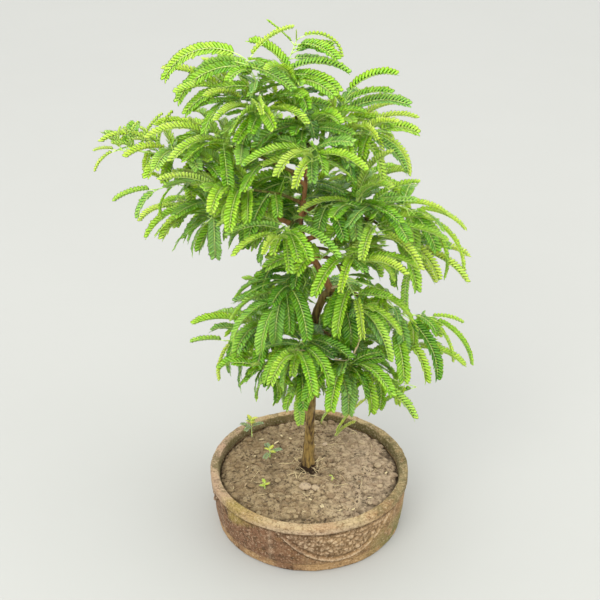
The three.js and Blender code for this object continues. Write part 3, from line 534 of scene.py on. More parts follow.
class Room:
    """What is taken already, as sets of points, each with the room that it needs and its owner."""

    def __init__(self) -> None:
        """Starts with nothing taken."""
        self.sets: List[Tuple[Array, str, float]] = []
        self.balls: List[Array] = []

    @staticmethod
    def ball(points: Array) -> Array:
        """The middle of some points and their reach from it, as four numbers."""
        middle = points.mean(0)
        return np.append(middle, math.sqrt(float(((points - middle) ** 2).sum(1).max())))

    def take(self, points: Array, owner: str, gap: float) -> None:
        """Keeps some points' room.

        Args:
            points: The points.
            owner: Whose they are; an owner's own points aren't in its way.
            gap: How near other points may come.
        """
        self.sets.append((points, owner, gap))
        self.balls.append(np.append(self.ball(points), gap))

    def is_clear(self, points: Array, owner: str) -> bool:
        """Tests whether some points keep out of all rooms but their owner's.

        Args:
            points: The points.
            owner: Whose they are.

        Returns:
            True if nothing is in their way.
        """
        ball = self.ball(points)
        balls = np.array(self.balls)
        off = np.sqrt(((balls[:, :3] - ball[:3]) ** 2).sum(1))
        near = np.nonzero(off < balls[:, 3] + ball[3] + balls[:, 4])[0]
        for index in near:
            others, other_owner, gap = self.sets[index]
            if other_owner != owner and not keep_apart(points, others, gap):
                return False
        return True


@dataclass
class Plan:
    """Where a spray is to stand on its limb, and where it heads."""

    name: str
    limb: Limb
    at_end: bool
    root: Array
    aim: Array


class Twig:
    """A spray's green twig: it leaves the wood straight, then bends to its own way."""

    def __init__(self, plan: Plan, swing: float, length: float, sag: float) -> None:
        """Lays the twig out.

        Args:
            plan: The spray's plan.
            swing: Turn of its aim about the vertical, in radians.
            length: Its length.
            sag: How far its end hangs, as a share of its length.
        """
        cos, sin = math.cos(swing), math.sin(swing)
        aim = plan.aim
        self.aim = vec(aim[0] * cos - aim[1] * sin, aim[0] * sin + aim[1] * cos, aim[2])
        self.grain = aim if plan.at_end else self.aim
        self.start = plan.root + self.grain * (GAP if plan.at_end else SPUR_LENGTH + GAP)
        self.middle = self.start + self.grain * (length * TWIG_BEND)
        self.end = self.start + self.aim * length
        self.end[2] -= sag * length

    def at(self, share: Union[float, Array]) -> Array:
        """Points of the twig at shares of its length."""
        share = np.asarray(share, float)[..., None]
        rest = 1 - share
        return self.start * rest * rest + self.middle * 2 * rest * share + self.end * share * share


@dataclass
class Spray:
    """A twig with its fronds."""

    plan: Plan
    twig: Twig
    fronds: List[Frond]


class Growth:
    """The rule that the solid model's crown grew by, step for step."""

    def __init__(self, limbs: Sequence[Limb]) -> None:
        """Lays out the limbs and takes their room.

        Args:
            limbs: The trunk and limbs, each after the one that it stands on.
        """
        self.limbs = {limb.name: limb for limb in limbs}
        self.room = Room()
        for limb in limbs:
            points = [vec(*point) for point in limb.points]
            if limb.on:
                points.insert(0, self.limbs[limb.on].point(limb.at))
            limb.route = points
            self.room.take(limb.samples(), "wood", ROOM_TO_WOOD + limb.thick / 2)

    def plan_side(self, limb: Limb, shoot: int, index: int, draw: Draw) -> Plan:
        """Plans a side spray; they stand by turns round their limb.

        Args:
            limb: The limb.
            shoot: Which of its shoots it is, from 1.
            index: The limb's place in the list.
            draw: The limb's stream of numbers.

        Returns:
            The plan.
        """
        share = limb.start + (LAST_SHOOT - limb.start) * (shoot - 0.5) / limb.shoots
        along = limb.heading(share)
        side = unit(vec(-along[1], along[0], 0))
        up = np.cross(along, side)
        up = -up if up[2] < 0 else up
        turn = GOLDEN_ANGLE * shoot + index + draw(-SHOOT_TURN_DRAW, SHOOT_TURN_DRAW)
        sideward, upward = SHOOT_SIDEWARD * math.cos(turn), SHOOT_UPWARD * math.sin(turn)
        aim = along * SHOOT_FORWARD + side * sideward + up * upward
        aim[2] += SHOOT_LIFT
        return Plan(f"spray_{limb.name}_{shoot}", limb, False, limb.point(share), unit(aim))

    def plans(self) -> List[Plan]:
        """The plans of all sprays, first those at the limbs' ends."""
        limbs = list(self.limbs.values())
        plans = [
            Plan(f"spray_{limb.name}_end", limb, True, limb.point(1), limb.heading(1))
            for limb in limbs if limb.on
        ]
        for index, limb in enumerate(limbs):
            draw = Draw(SEED * 1000 + index)
            plans += [self.plan_side(limb, shoot + 1, index, draw) for shoot in range(limb.shoots)]
        return plans

    def place_twig(self, plan: Plan, draw: Draw) -> Optional[Twig]:
        """Finds the first of a spray's swings that has room.

        Args:
            plan: The spray's plan.
            draw: The spray's stream of numbers.

        Returns:
            The twig, or None.
        """
        length = draw(*(END_TWIG if plan.at_end else SIDE_TWIG))
        sag = draw(*TWIG_SAG)
        for swing in TWIG_SWINGS:
            twig = Twig(plan, swing, length, sag)
            if self.room.is_clear(twig.at(TWIG_SAMPLES), plan.name):
                return twig
        return None

    def place_frond(
        self, plan: Plan, twig: Twig, fronds: List[Frond], index: int, order: int, draw: Draw
    ) -> Optional[Frond]:
        """Finds the first way in which a frond of a spray has room.

        Args:
            plan: The spray's plan.
            twig: Its twig.
            fronds: The spray's fronds so far.
            index: Which frond it is, from 0.
            order: The plan's place in the list.
            draw: The spray's stream of numbers.

        Returns:
            The frond, or None.
        """
        last = (END_FRONDS if plan.at_end else SIDE_FRONDS) - 1
        share = FIRST_FROND + (1 - FIRST_FROND) * index / last
        side = 1 if (index + order) % 2 else -1
        spread = 0.0
        if index < last:
            spread = SPREAD_AT_FOOT - SPREAD_LOST * share + draw(-SPREAD_DRAW, SPREAD_DRAW)
            spread = math.radians(spread)
        older = 0 if plan.at_end else OLDER_AT_SIDE
        wish = plan.limb.age - YOUNGER_OUTWARD * share + draw(-AGE_DRAW, AGE_DRAW) + older
        age = min(1.0, max(YOUNGEST, wish))
        fullness = 1 - SHORTER_AT_ENDS + SHORTER_AT_ENDS * (1 - abs(share - 0.5))
        length = plan.limb.size * draw(*FROND_LENGTH) * fullness
        heading = math.atan2(twig.aim[1], twig.aim[0]) + side * spread
        rise = math.radians(RISE_YOUNG - RISE_LOST * age + draw(-RISE_DRAW, RISE_DRAW))
        rise = math.asin(twig.aim[2]) * TWIG_SHARE_OF_RISE + rise
        droop = math.radians(DROOP_YOUNG + DROOP_GAINED * age + draw(-DROOP_DRAW, DROOP_DRAW))
        fold = math.radians(FOLD_YOUNG * (1 - age) + FOLD_OLD + draw(-FOLD_DRAW, FOLD_DRAW))
        roll = math.radians(draw(-ROLL_DRAW, ROLL_DRAW))
        for attempt in range(FROND_TRIES):
            turn = (attempt + 1) // 2 * (1 if attempt % 2 else -1)
            tip = (attempt % 3 - 1) * TRY_TIP if attempt else 0
            frond = Frond(
                twig.at(share), heading + turn * TRY_TURN, rise + tip,
                droop + (attempt % 4) * TRY_DROOP, length * (1 - TRY_SHORTEN * attempt),
                FROND_HALF_BREADTH, fold, roll + turn * TRY_ROLL, age)
            points = frond.samples(0)
            if points[:, 2].min() < LOWEST_LEAF:
                continue
            outer = frond.samples(OUTER_STATION)
            apart = all(
                keep_apart(outer, other.samples(OUTER_STATION), ROOM_WITHIN_SPRAY)
                for other in fronds)
            if apart and self.room.is_clear(points, plan.name):
                return frond
        return None

    def grow(self) -> List[Spray]:
        """Grows the sprays one after the other, each clear of the wood and of those before it."""
        sprays = []
        for order, plan in enumerate(self.plans()):
            draw = Draw(SEED * 100 + order * 13)
            twig = self.place_twig(plan, draw)
            if twig is None:
                continue
            fronds: List[Frond] = []
            for index in range(END_FRONDS if plan.at_end else SIDE_FRONDS):
                frond = self.place_frond(plan, twig, fronds, index, order, draw)
                if frond is not None:
                    fronds.append(frond)
            if len(fronds) < FEWEST_FRONDS:
                continue
            self.room.take(twig.at(TWIG_SAMPLES), plan.name, ROOM_TO_TWIG)
            for frond in fronds:
                self.room.take(frond.samples(0), plan.name, ROOM_BETWEEN_SPRAYS)
            sprays.append(Spray(plan, twig, fronds))
        return sprays


def lay_shoots(limbs: Dict[str, Limb]) -> Dict[str, Tuple[Limb, List[Frond]]]:
    """Lays out the listed shoots with their leaves.

    Args:
        limbs: The limbs by name, laid out already.

    Returns:
        Each shoot's route and leaves, by its name.
    """
    laid = {}
    for shoot in SHOOTS:
        name = "shoot_" + shoot.name
        limb = Limb(name, shoot.on, shoot.at, SHOOT_FOOT, 0, 0, 0.35, 1, shoot.points, SHOOT_TIP)
        limb.route = [limbs[shoot.on].point(shoot.at), *(vec(*point) for point in shoot.points)]
        leaves = [Leaf(*row) for row in shoot.leaves]
        laid[name] = (limb, [Frond.between(limb.point(leaf.at), leaf) for leaf in leaves])
    return laid


@dataclass
class Undergrowth:
    """The leaves that fill the crown's smaller gaps, on the twigs and straight on the limbs.

    They stay within reach of the solid model's leaves, so that the crown keeps its form.
    """

    sprays: Sequence[Spray]
    limbs: Sequence[Limb]
    placed: Sequence[Frond]
    eye: Array
    gap: float = 2.4
    gap_to_wood: float = 1.5
    within: float = 22.0
    node_length: float = 8.0
    tries: int = 16
    lowest: float = 178.0
    length: float = 82.0
    low: float = 410.0
    low_size: float = 0.74
    trunk_start: float = 0.5
    limb_start: float = 0.12
    on_twig: int = 11

    def __post_init__(self) -> None:
        """Takes the room of the wood and of the leaves that stand already."""
        self.room = Room()
        for limb in self.limbs:
            self.room.take(limb.samples(), "wood", self.gap_to_wood + limb.thick / 2)
        spots = []
        for frond in [frond for spray in self.sprays for frond in spray.fronds] + list(self.placed):
            points = frond.samples(0)
            self.room.take(points[OUTER_STATION:], "leaf", self.gap)
            spots.append(points)
        spots = np.concatenate(spots)
        self.crown = kdtree.KDTree(len(spots))
        for index, spot in enumerate(spots):
            self.crown.insert(spot, index)
        self.crown.balance()

    def in_opening(self, points: Array) -> bool:
        """Whether any of some points stands in an opening of the crown, as the camera sees it."""
        share = self.eye[1] / (self.eye[1] - points[:, 1])
        shown = self.eye + (points - self.eye) * share[:, None]
        for opening in OPENINGS:
            off = np.hypot(shown[:, 0] - opening.x, shown[:, 2] - opening.z)
            if ((off < opening.reach) & (points[:, 1] < opening.back_to)).any():
                return True
        return False

    def fits(self, frond: Frond) -> bool:
        """Whether a frond is clear of all else and within the crown."""
        points = frond.samples(OUTER_STATION)
        if points[:, 2].min() < self.lowest or self.in_opening(points):
            return False
        if any(self.crown.find(spot)[2] > self.within for spot in points[4::9]):
            return False
        return self.room.is_clear(points, "")

    def place(self, base: Array, azimuth: float, age: float, draw: Draw) -> Optional[Frond]:
        """Finds a way in which a frond at a place has room.

        Args:
            base: Where it stands.
            azimuth: Where it heads.
            age: Its age.
            draw: The stream of numbers.

        Returns:
            The frond, or None.
        """
        age = min(1.0, max(0.05, age + draw(-0.15, 0.15)))
        for attempt in range(self.tries):
            low = self.low_size if base[2] < self.low else 1
            size = draw(0.78, 1.1) * (1 - 0.03 * attempt) * low
            frond = Frond(
                base, azimuth + draw(-1.1, 1.1), draw(-0.5, 0.85), draw(0.3, 1.35),
                self.length * size, FROND_HALF_BREADTH * (0.32 + 0.6 * size),
                math.radians(44 * (1 - age) - 4 + draw(-10, 10)), draw(-0.7, 0.7), age)
            if self.fits(frond):
                self.room.take(frond.samples(OUTER_STATION), "leaf", self.gap)
                return frond
        return None

    def on_twigs(self) -> None:
        """Adds leaves to the sprays' twigs, between those that they have."""
        for order, spray in enumerate(self.sprays):
            draw = Draw(TWIG_LEAF_SEED + order)
            heading = math.atan2(spray.twig.aim[1], spray.twig.aim[0])
            for index, share in enumerate(np.linspace(0.08, 0.98, self.on_twig)):
                side = 1 if (index + order) % 2 else -1
                azimuth = heading + side * (1.3 - 0.7 * share)
                age = spray.plan.limb.age + 0.2 - 0.25 * share
                frond = self.place(spray.twig.at(share), azimuth, age, draw)
                if frond is not None:
                    spray.fronds.append(frond)

    def on_limbs(self, limbs: Sequence[Limb]) -> Dict[str, List[Frond]]:
        """Adds leaves straight to limbs or shoots.

        Args:
            limbs: The limbs.

        Returns:
            The leaves by the limb's name.
        """
        added = {}
        for order, limb in enumerate(limbs):
            draw = Draw(LIMB_LEAF_SEED + order)
            start = self.limb_start if limb.on else self.trunk_start
            nodes = int(limb.length() * (1 - start) / self.node_length)
            fronds = []
            for index in range(nodes):
                share = start + (1 - start) * (index + 0.5) / nodes
                for turn in range(2):
                    azimuth = GOLDEN_ANGLE * (index + order) + math.pi * turn
                    age = limb.age + 0.3 - 0.2 * share
                    frond = self.place(limb.point(share), azimuth, age, draw)
                    if frond is not None:
                        fronds.append(frond)
            added[limb.name] = fronds
        return added


def set_number(mesh: bpy.types.Mesh, name: str, values: Array) -> None:
    """Gives each point of a mesh a named number."""
    layer = mesh.attributes.new(name, "FLOAT", "POINT")
    layer.data.foreach_set("value", values.astype(np.float32))


class Surface:
    """Points and faces of one piece, gathered part by part, with named numbers at its points."""

    def __init__(self, *names: str) -> None:
        """Starts empty.

        Args:
            names: The names of the numbers that each point has.
        """
        self.points: List[Array] = []
        self.faces: List[List[int]] = []
        self.numbers: Dict[str, List[Array]] = {name: [] for name in names}
        self.count = 0

    def add(self, points: Array, faces: Sequence[Array], **numbers: Union[float, Array]) -> None:
        """Adds a part.

        Args:
            points: Its points.
            faces: Arrays of its faces, each of faces with the same number of corners.
            numbers: Its numbers, one for all its points or one for each; 0 where left out.
        """
        for some in faces:
            self.faces += (some + self.count).tolist()
        for name, parts in self.numbers.items():
            parts.append(np.broadcast_to(numbers.get(name, 0.0), len(points)))
        self.points.append(points)
        self.count += len(points)

    def make(self, name: str) -> bpy.types.Object:
        """Makes the piece, smooth all over.

        Args:
            name: The piece's name.

        Returns:
            The piece, in metres.
        """
        mesh = bpy.data.meshes.new(name)
        mesh.from_pydata((np.concatenate(self.points) * METRE).tolist(), [], self.faces)
        for key, parts in self.numbers.items():
            set_number(mesh, key, np.concatenate(parts))
        mesh.polygons.foreach_set("use_smooth", [True] * len(mesh.polygons))
        mesh.update()
        piece = bpy.data.objects.new(name, mesh)
        bpy.context.scene.collection.objects.link(piece)
        return piece


def turned_by(azimuth: float, rise: float) -> Array:
    """Matrix that lifts the X axis by a rise, then turns it to an azimuth."""
    ca, sa, cr, sr = math.cos(azimuth), math.sin(azimuth), math.cos(rise), math.sin(rise)
    return np.array([[ca * cr, -sa, -ca * sr], [sa * cr, ca, -sa * sr], [sr, 0, cr]])


def sweep(route: Array, radii: Array, sides: int) -> Tuple[Array, List[Array]]:
    """A closed tube along a route.

    Args:
        route: The points of its axis.
        radii: Its radius at each of them, or at each and each side.
        sides: Number of its sides.

    Returns:
        Its points, ring by ring, and its faces.
    """
    headings = unit(np.gradient(route, axis=0))
    steady = np.eye(3)[np.abs(route[-1] - route[0]).argmin()]
    first = unit(np.cross(headings[0], steady))
    turn = 2 * math.pi * np.arange(sides) / sides
    radii = np.broadcast_to(radii if radii.ndim == 2 else radii[:, None], (len(route), sides))
    rings = []
    for centre, heading, radius in zip(route, headings, radii):
        first = unit(first - heading * (first @ heading))
        second = np.cross(heading, first)
        ring = np.cos(turn)[:, None] * first + np.sin(turn)[:, None] * second
        rings.append(centre + ring * radius[:, None])
    side = np.arange(sides)
    after = (side + 1) % sides
    rows = np.arange(len(route) - 1)[:, None] * sides
    quads = np.stack([rows + side, rows + after, rows + sides + after, rows + sides + side], -1)
    last = (len(route) - 1) * sides
    caps = [side[::-1][None, :], (side + last)[None, :]]
    return np.concatenate(rings), [quads.reshape(-1, 4), *caps]


class Bench:
    """The modelling operators, used as by hand on one piece at a time."""

    @staticmethod
    def clear() -> None:
        """Selects nothing."""
        bpy.ops.object.select_all(action="DESELECT")

    @staticmethod
    def pick_up(piece: bpy.types.Object) -> None:
        """Selects one piece alone."""
        Bench.clear()
        piece.select_set(True)
        bpy.context.view_layer.objects.active = piece

    @staticmethod
    def newest(name: str) -> bpy.types.Object:
        """Names the primitive that was just added, and hands it over."""
        piece = bpy.context.object
        piece.name = piece.data.name = name
        return piece

    @staticmethod
    def edit() -> None:
        """Opens the piece's mesh with everything in it selected."""
        bpy.ops.object.mode_set(mode="EDIT")
        bpy.ops.mesh.select_all(action="SELECT")

    @staticmethod
    def close() -> None:
        """Closes the piece's mesh."""
        bpy.ops.object.mode_set(mode="OBJECT")

    @staticmethod
    def select_points(piece: bpy.types.Object, test: Callable[[Vector], bool]) -> None:
        """Selects the points of an open mesh that pass a test of their place.

        Args:
            piece: The piece.
            test: Says whether a point is wanted.
        """
        bpy.ops.mesh.select_mode(type="VERT")
        bpy.ops.mesh.select_all(action="DESELECT")
        Bench.close()
        for vertex in piece.data.vertices:
            vertex.select = test(vertex.co)
        bpy.ops.object.mode_set(mode="EDIT")

    @staticmethod
    def places(piece: bpy.types.Object) -> Array:
        """The places of a piece's points, in millimetres."""
        flat = np.zeros(3 * len(piece.data.vertices))
        piece.data.vertices.foreach_get("co", flat)
        return flat.reshape(-1, 3) / METRE

    @staticmethod
    def set_places(piece: bpy.types.Object, places: Array) -> None:
        """Gives a piece's points new places, in millimetres."""
        piece.data.vertices.foreach_set("co", (places * METRE).ravel())
        piece.data.update()

    @staticmethod
    def faces(piece: bpy.types.Object) -> List[Array]:
        """A piece's faces, those with the same number of corners together."""
        rows = [tuple(polygon.vertices) for polygon in piece.data.polygons]
        sizes = sorted({len(row) for row in rows})
        return [np.array([row for row in rows if len(row) == size]) for size in sizes]

    @staticmethod
    def scrap(piece: bpy.types.Object) -> None:
        """Takes away a pattern that copies were made from."""
        bpy.data.objects.remove(piece)


def raise_rings(name: str, profile: Sequence[Tuple[float, float]], sides: int) -> bpy.types.Object:
    """Raises a closed round shape from a disc, ring by ring, as on a wheel.

    Args:
        name: The piece's name.
        profile: Radius and height of each ring, from the foot outside to the floor inside.
        sides: Points round a ring.

    Returns:
        The piece.
    """
    Bench.clear()
    radius, height = profile[0]
    bpy.ops.mesh.primitive_circle_add(
        vertices=sides, radius=radius * METRE, fill_type="TRIFAN", location=(0, 0, 0))
    piece = Bench.newest(name)
    Bench.edit()
    bpy.ops.transform.translate(value=(0, 0, height * METRE))
    for new_radius, new_height in profile[1:]:
        climb = (new_height - height) * METRE
        bpy.ops.mesh.extrude_region_move(TRANSFORM_OT_translate={"value": (0, 0, climb)})
        spread = new_radius / radius
        bpy.ops.transform.resize(value=(spread, spread, 1), center_override=(0, 0, 0))
        radius, height = new_radius, new_height
    bpy.ops.mesh.select_all(action="SELECT")
    bpy.ops.mesh.normals_make_consistent(inside=False)
    Bench.close()
    return piece


Number = Union["Value", float, Colour]


class Value:
    """What a node gives. Sums with it add Math nodes."""

    def __init__(self, recipe: "Recipe", socket: bpy.types.NodeSocket) -> None:
        """Wraps a node's output.

        Args:
            recipe: The recipe that the node belongs to.
            socket: The output.
        """
        self.recipe = recipe
        self.socket = socket

    def __add__(self, other: Number) -> "Value":
        """Sum of the two."""
        return self.recipe.math("ADD", self, other)

    def __radd__(self, other: Number) -> "Value":
        """Sum of the two."""
        return self.recipe.math("ADD", other, self)

    def __sub__(self, other: Number) -> "Value":
        """This less the other."""
        return self.recipe.math("SUBTRACT", self, other)

    def __rsub__(self, other: Number) -> "Value":
        """The other less this."""
        return self.recipe.math("SUBTRACT", other, self)

    def __mul__(self, other: Number) -> "Value":
        """Product of the two."""
        return self.recipe.math("MULTIPLY", self, other)

    def __rmul__(self, other: Number) -> "Value":
        """Product of the two."""
        return self.recipe.math("MULTIPLY", other, self)

    def __truediv__(self, other: Number) -> "Value":
        """This over the other."""
        return self.recipe.math("DIVIDE", self, other)



class Recipe:
    """One finish's nodes, written as sums."""

    def __init__(self, name: str) -> None:
        """Starts a material with its plain shader.

        Args:
            name: The material's name.
        """
        self.material = bpy.data.materials.new(name)
        self.material.use_nodes = True
        self.tree = self.material.node_tree
        self.shader = next(node for node in self.tree.nodes if node.type == "BSDF_PRINCIPLED")
        self.place = self.node("ShaderNodeTexCoord", {}, {}, "Object")

    def node(
        self, kind: str, settings: Dict[str, Any], sockets: Dict[Union[str, int], Any],
        output: Union[str, int] = 0,
    ) -> Value:
        """Adds a node.

        Args:
            kind: Its type.
            settings: Its settings, such as an operation; "stops" are a ramp's stops.
            sockets: Values or links of its inputs.
            output: The output that is wanted.

        Returns:
            That output.
        """
        node = self.tree.nodes.new(kind)
        for key, setting in settings.items():
            if key == "stops":
                self.set_stops(node.color_ramp, setting)
            else:
                setattr(node, key, setting)
        for key, value in sockets.items():
            self.feed(node.inputs[key], value)
        return Value(self, node.outputs[output])

    @staticmethod
    def set_stops(ramp: bpy.types.ColorRamp, stops: Sequence[Tuple[float, Colour]]) -> None:
        """Gives a ramp its stops."""
        while len(ramp.elements) < len(stops):
            ramp.elements.new(0.5)
        for element, (position, colour) in zip(ramp.elements, stops):
            element.position = position
            element.color = (*colour, 1)

    def feed(self, socket: bpy.types.NodeSocket, value: Number) -> None:
        """Links a value to an input, or sets it there.

        Args:
            socket: The input.
            value: A link, a number or a colour.
        """
        if isinstance(value, Value):
            self.tree.links.new(value.socket, socket)
        elif isinstance(value, tuple) and socket.type == "RGBA":
            socket.default_value = (*value, 1)
        else:
            socket.default_value = value

    def math(self, operation: str, first: Number, second: Number = 0.0) -> Value:
        """A Math node."""
        return self.node("ShaderNodeMath", {"operation": operation}, {0: first, 1: second})

    def mix(self, factor: Number, first: Number, second: Number, way: str = "MIX") -> Value:
        """Mixes two colours.

        Args:
            factor: How much of the second.
            first: The first colour.
            second: The second colour.
            way: How they are mixed.

        Returns:
            The colour.
        """
        settings = {"data_type": "RGBA", "blend_type": way, "clamp_factor": True}
        return self.node("ShaderNodeMix", settings, {0: factor, 6: first, 7: second}, 2)

    def stretched(self, stretch: Point) -> Value:
        """The piece's own coordinates, with each axis multiplied by a number."""
        return self.node("ShaderNodeVectorMath", {"operation": "MULTIPLY"}, {0: self.place, 1: stretch})

    def noise(self, scale: float, detail: float = 4, place: Optional[Value] = None) -> Value:
        """Cloudy noise from 0 to 1.

        Args:
            scale: Its waves in a metre.
            detail: Its number of finer layers.
            place: Where it is read, if not at the piece's own coordinates.

        Returns:
            The noise.
        """
        sockets = {"Vector": place or self.place, "Scale": scale, "Detail": detail, "Roughness": 0.6}
        return self.node("ShaderNodeTexNoise", {}, sockets)

    def cells(self, scale: float) -> Value:
        """Distance from the middle of the nearest cell, with so many cells in a metre."""
        sockets = {"Vector": self.place, "Scale": scale}
        return self.node("ShaderNodeTexVoronoi", {"feature": "F1"}, sockets, "Distance")

    def ranged(self, value: Number, low: float, high: float, start: float = 0, end: float = 1) -> Value:
        """Brings a range of a value to another range, and holds it there.

        Args:
            value: The value.
            low: Where its range starts.
            high: Where it ends.
            start: What its start becomes.
            end: What its end becomes.

        Returns:
            The new value.
        """
        sockets = {0: value, 1: low, 2: high, 3: start, 4: end}
        return self.node("ShaderNodeMapRange", {"interpolation_type": "SMOOTHSTEP"}, sockets)

    def ramp(self, value: Number, stops: Sequence[Tuple[float, Colour]]) -> Value:
        """Colour at a place in a row of colours."""
        return self.node("ShaderNodeValToRGB", {"stops": stops}, {0: value})

    def number(self, name: str) -> Value:
        """The piece's own number of that name."""
        return self.node("ShaderNodeAttribute", {"attribute_name": name}, {}, "Fac")

    def axes(self) -> Tuple[Value, Value, Value]:
        """The piece's three coordinates, in metres."""
        parts = self.tree.nodes.new("ShaderNodeSeparateXYZ")
        self.feed(parts.inputs[0], self.place)
        return tuple(Value(self, output) for output in parts.outputs)

    def bump(self, height: Value, distance: float, strength: float = 1) -> Value:
        """A normal that is raised by a height, of a depth in metres."""
        sockets = {"Height": height, "Distance": distance, "Strength": strength}
        return self.node("ShaderNodeBump", {}, sockets)


class Finish:
    """What a piece is finished with."""

    def material(self, name: str) -> bpy.types.Material:
        """Makes the material.

        Args:
            name: Its name.

        Returns:
            The material.
        """
        recipe = Recipe(name)
        for key, value in self.inputs(recipe).items():
            recipe.feed(recipe.shader.inputs[key], value)
        return recipe.material

    def inputs(self, recipe: Recipe) -> Dict[str, Number]:
        """The shader's inputs, by name."""
        raise NotImplementedError


@dataclass(frozen=True)
class LeafFinish(Finish):
    """Thin green leaf: bright and yellowish when young, dark and bluish when old; its age number also
    carries painted shade for fronds deep in the crown, and its bluish tint is partly a painted sheen.
    """

    young: Colour = (0.42, 0.67, 0.055)
    fresh: Colour = (0.25, 0.58, 0.018)
    grown: Colour = (0.1, 0.36, 0.004)
    old: Colour = (0.022, 0.15, 0.002)
    # A paler bluish green that older leaves partly have, partly a painted sheen of glossy leaves
    cool: Colour = (0.2, 0.46, 0.12)
    vein: Colour = (0.62, 0.8, 0.24)
    roughness: float = 0.44
    glow: float = 0.6
    vein_depth: float = 0.00012

    def inputs(self, recipe: Recipe) -> Dict[str, Number]:
        """The leaf's inputs: shades by age, which takes in painted shade deep in the crown, pale veins
        and a mottled face.
        """
        age, tone = recipe.number("age"), recipe.number("tone")
        along, across = recipe.number("along"), recipe.number("across")
        under = recipe.number("under")
        cloud = recipe.noise(38, 3)
        shade = age + (tone - 0.5) * 0.3 + (cloud - 0.5) * 0.3
        stops = [(0.0, self.young), (0.28, self.fresh), (0.62, self.grown), (1.0, self.old)]
        # The bluish tint is partly the leaves' own colour and partly a painted sheen
        colour = recipe.mix(recipe.number("cool") * 0.6, recipe.ramp(shade, stops), self.cool)
        midrib = recipe.ranged(across, 0.0, 0.16, 1, 0) * recipe.ranged(along, 0.7, 1, 1, 0)
        colour = recipe.mix(midrib * 0.5, colour, self.vein)
        root = recipe.ranged(along, 0.0, 0.16, 1, 0)
        colour = recipe.mix(root * 0.6, colour, self.vein)
        pale = recipe.mix(0.3, colour, (0.42, 0.52, 0.24))
        colour = recipe.mix(under * 0.8, colour, pale)
        side_veins = recipe.math("SINE", along * 62 - across * 14)
        mottle = recipe.noise(420, 3)
        colour = recipe.mix(recipe.ranged(mottle, 0.35, 0.7) * 0.25, colour, self.vein, "SOFT_LIGHT")
        height = side_veins * 0.25 + mottle * 0.6 - midrib
        return {
            "Base Color": colour,
            "Roughness": self.roughness + (mottle - 0.5) * 0.3,
            "Normal": recipe.bump(height, self.vein_depth),
            "Subsurface Weight": self.glow,
            "Subsurface Radius": (1.0, 1.4, 0.25),
            "Subsurface Scale": 0.0012,
            "Specular IOR Level": 0.36,
        }


@dataclass(frozen=True)
class BarkFinish(Finish):
    """Bark: brown and streaked on the trunk, reddish above, olive green on the thin shoots."""

    trunk: Colour = (0.27, 0.175, 0.045)
    dark: Colour = (0.04, 0.02, 0.01)
    pale: Colour = (0.34, 0.25, 0.11)
    red: Colour = (0.42, 0.19, 0.075)
    shoot: Colour = (0.17, 0.19, 0.025)
    streak_stretch: Point = (260, 260, 42)
    depth: float = 0.0005

    def inputs(self, recipe: Recipe) -> Dict[str, Number]:
        """The bark's inputs: streaks and fissures, with a colour by the wood's girth."""
        girth = recipe.number("girth")
        streaks = recipe.noise(1, 6, recipe.stretched(self.streak_stretch))
        fissures = recipe.noise(1, 5, recipe.stretched((700, 700, 90)))
        patches = recipe.noise(45, 4)
        flecks = recipe.cells(420)
        brown = recipe.mix(recipe.ranged(streaks, 0.36, 0.62), self.dark, self.trunk)
        brown = recipe.mix(recipe.ranged(patches, 0.5, 0.72) * 0.55, brown, self.pale)
        red = recipe.mix(recipe.ranged(streaks, 0.3, 0.55), self.dark, self.red)
        green = recipe.mix(recipe.ranged(streaks, 0.3, 0.7), self.dark, self.shoot)
        stem = recipe.mix(recipe.ranged(girth, 0.8, 0.98), red, brown)
        colour = recipe.mix(recipe.ranged(girth, 0.1, 0.3), green, stem)
        spots = recipe.ranged(flecks, 0.12, 0.26, 1, 0)
        colour = recipe.mix(spots * 0.35, colour, self.pale)
        height = streaks * 0.6 + fissures * 0.5 + spots * 0.2
        return {
            "Base Color": colour,
            "Roughness": recipe.ranged(streaks, 0.3, 0.7, 0.95, 0.68),
            "Normal": recipe.bump(height, self.depth),
            "Specular IOR Level": 0.3,
        }


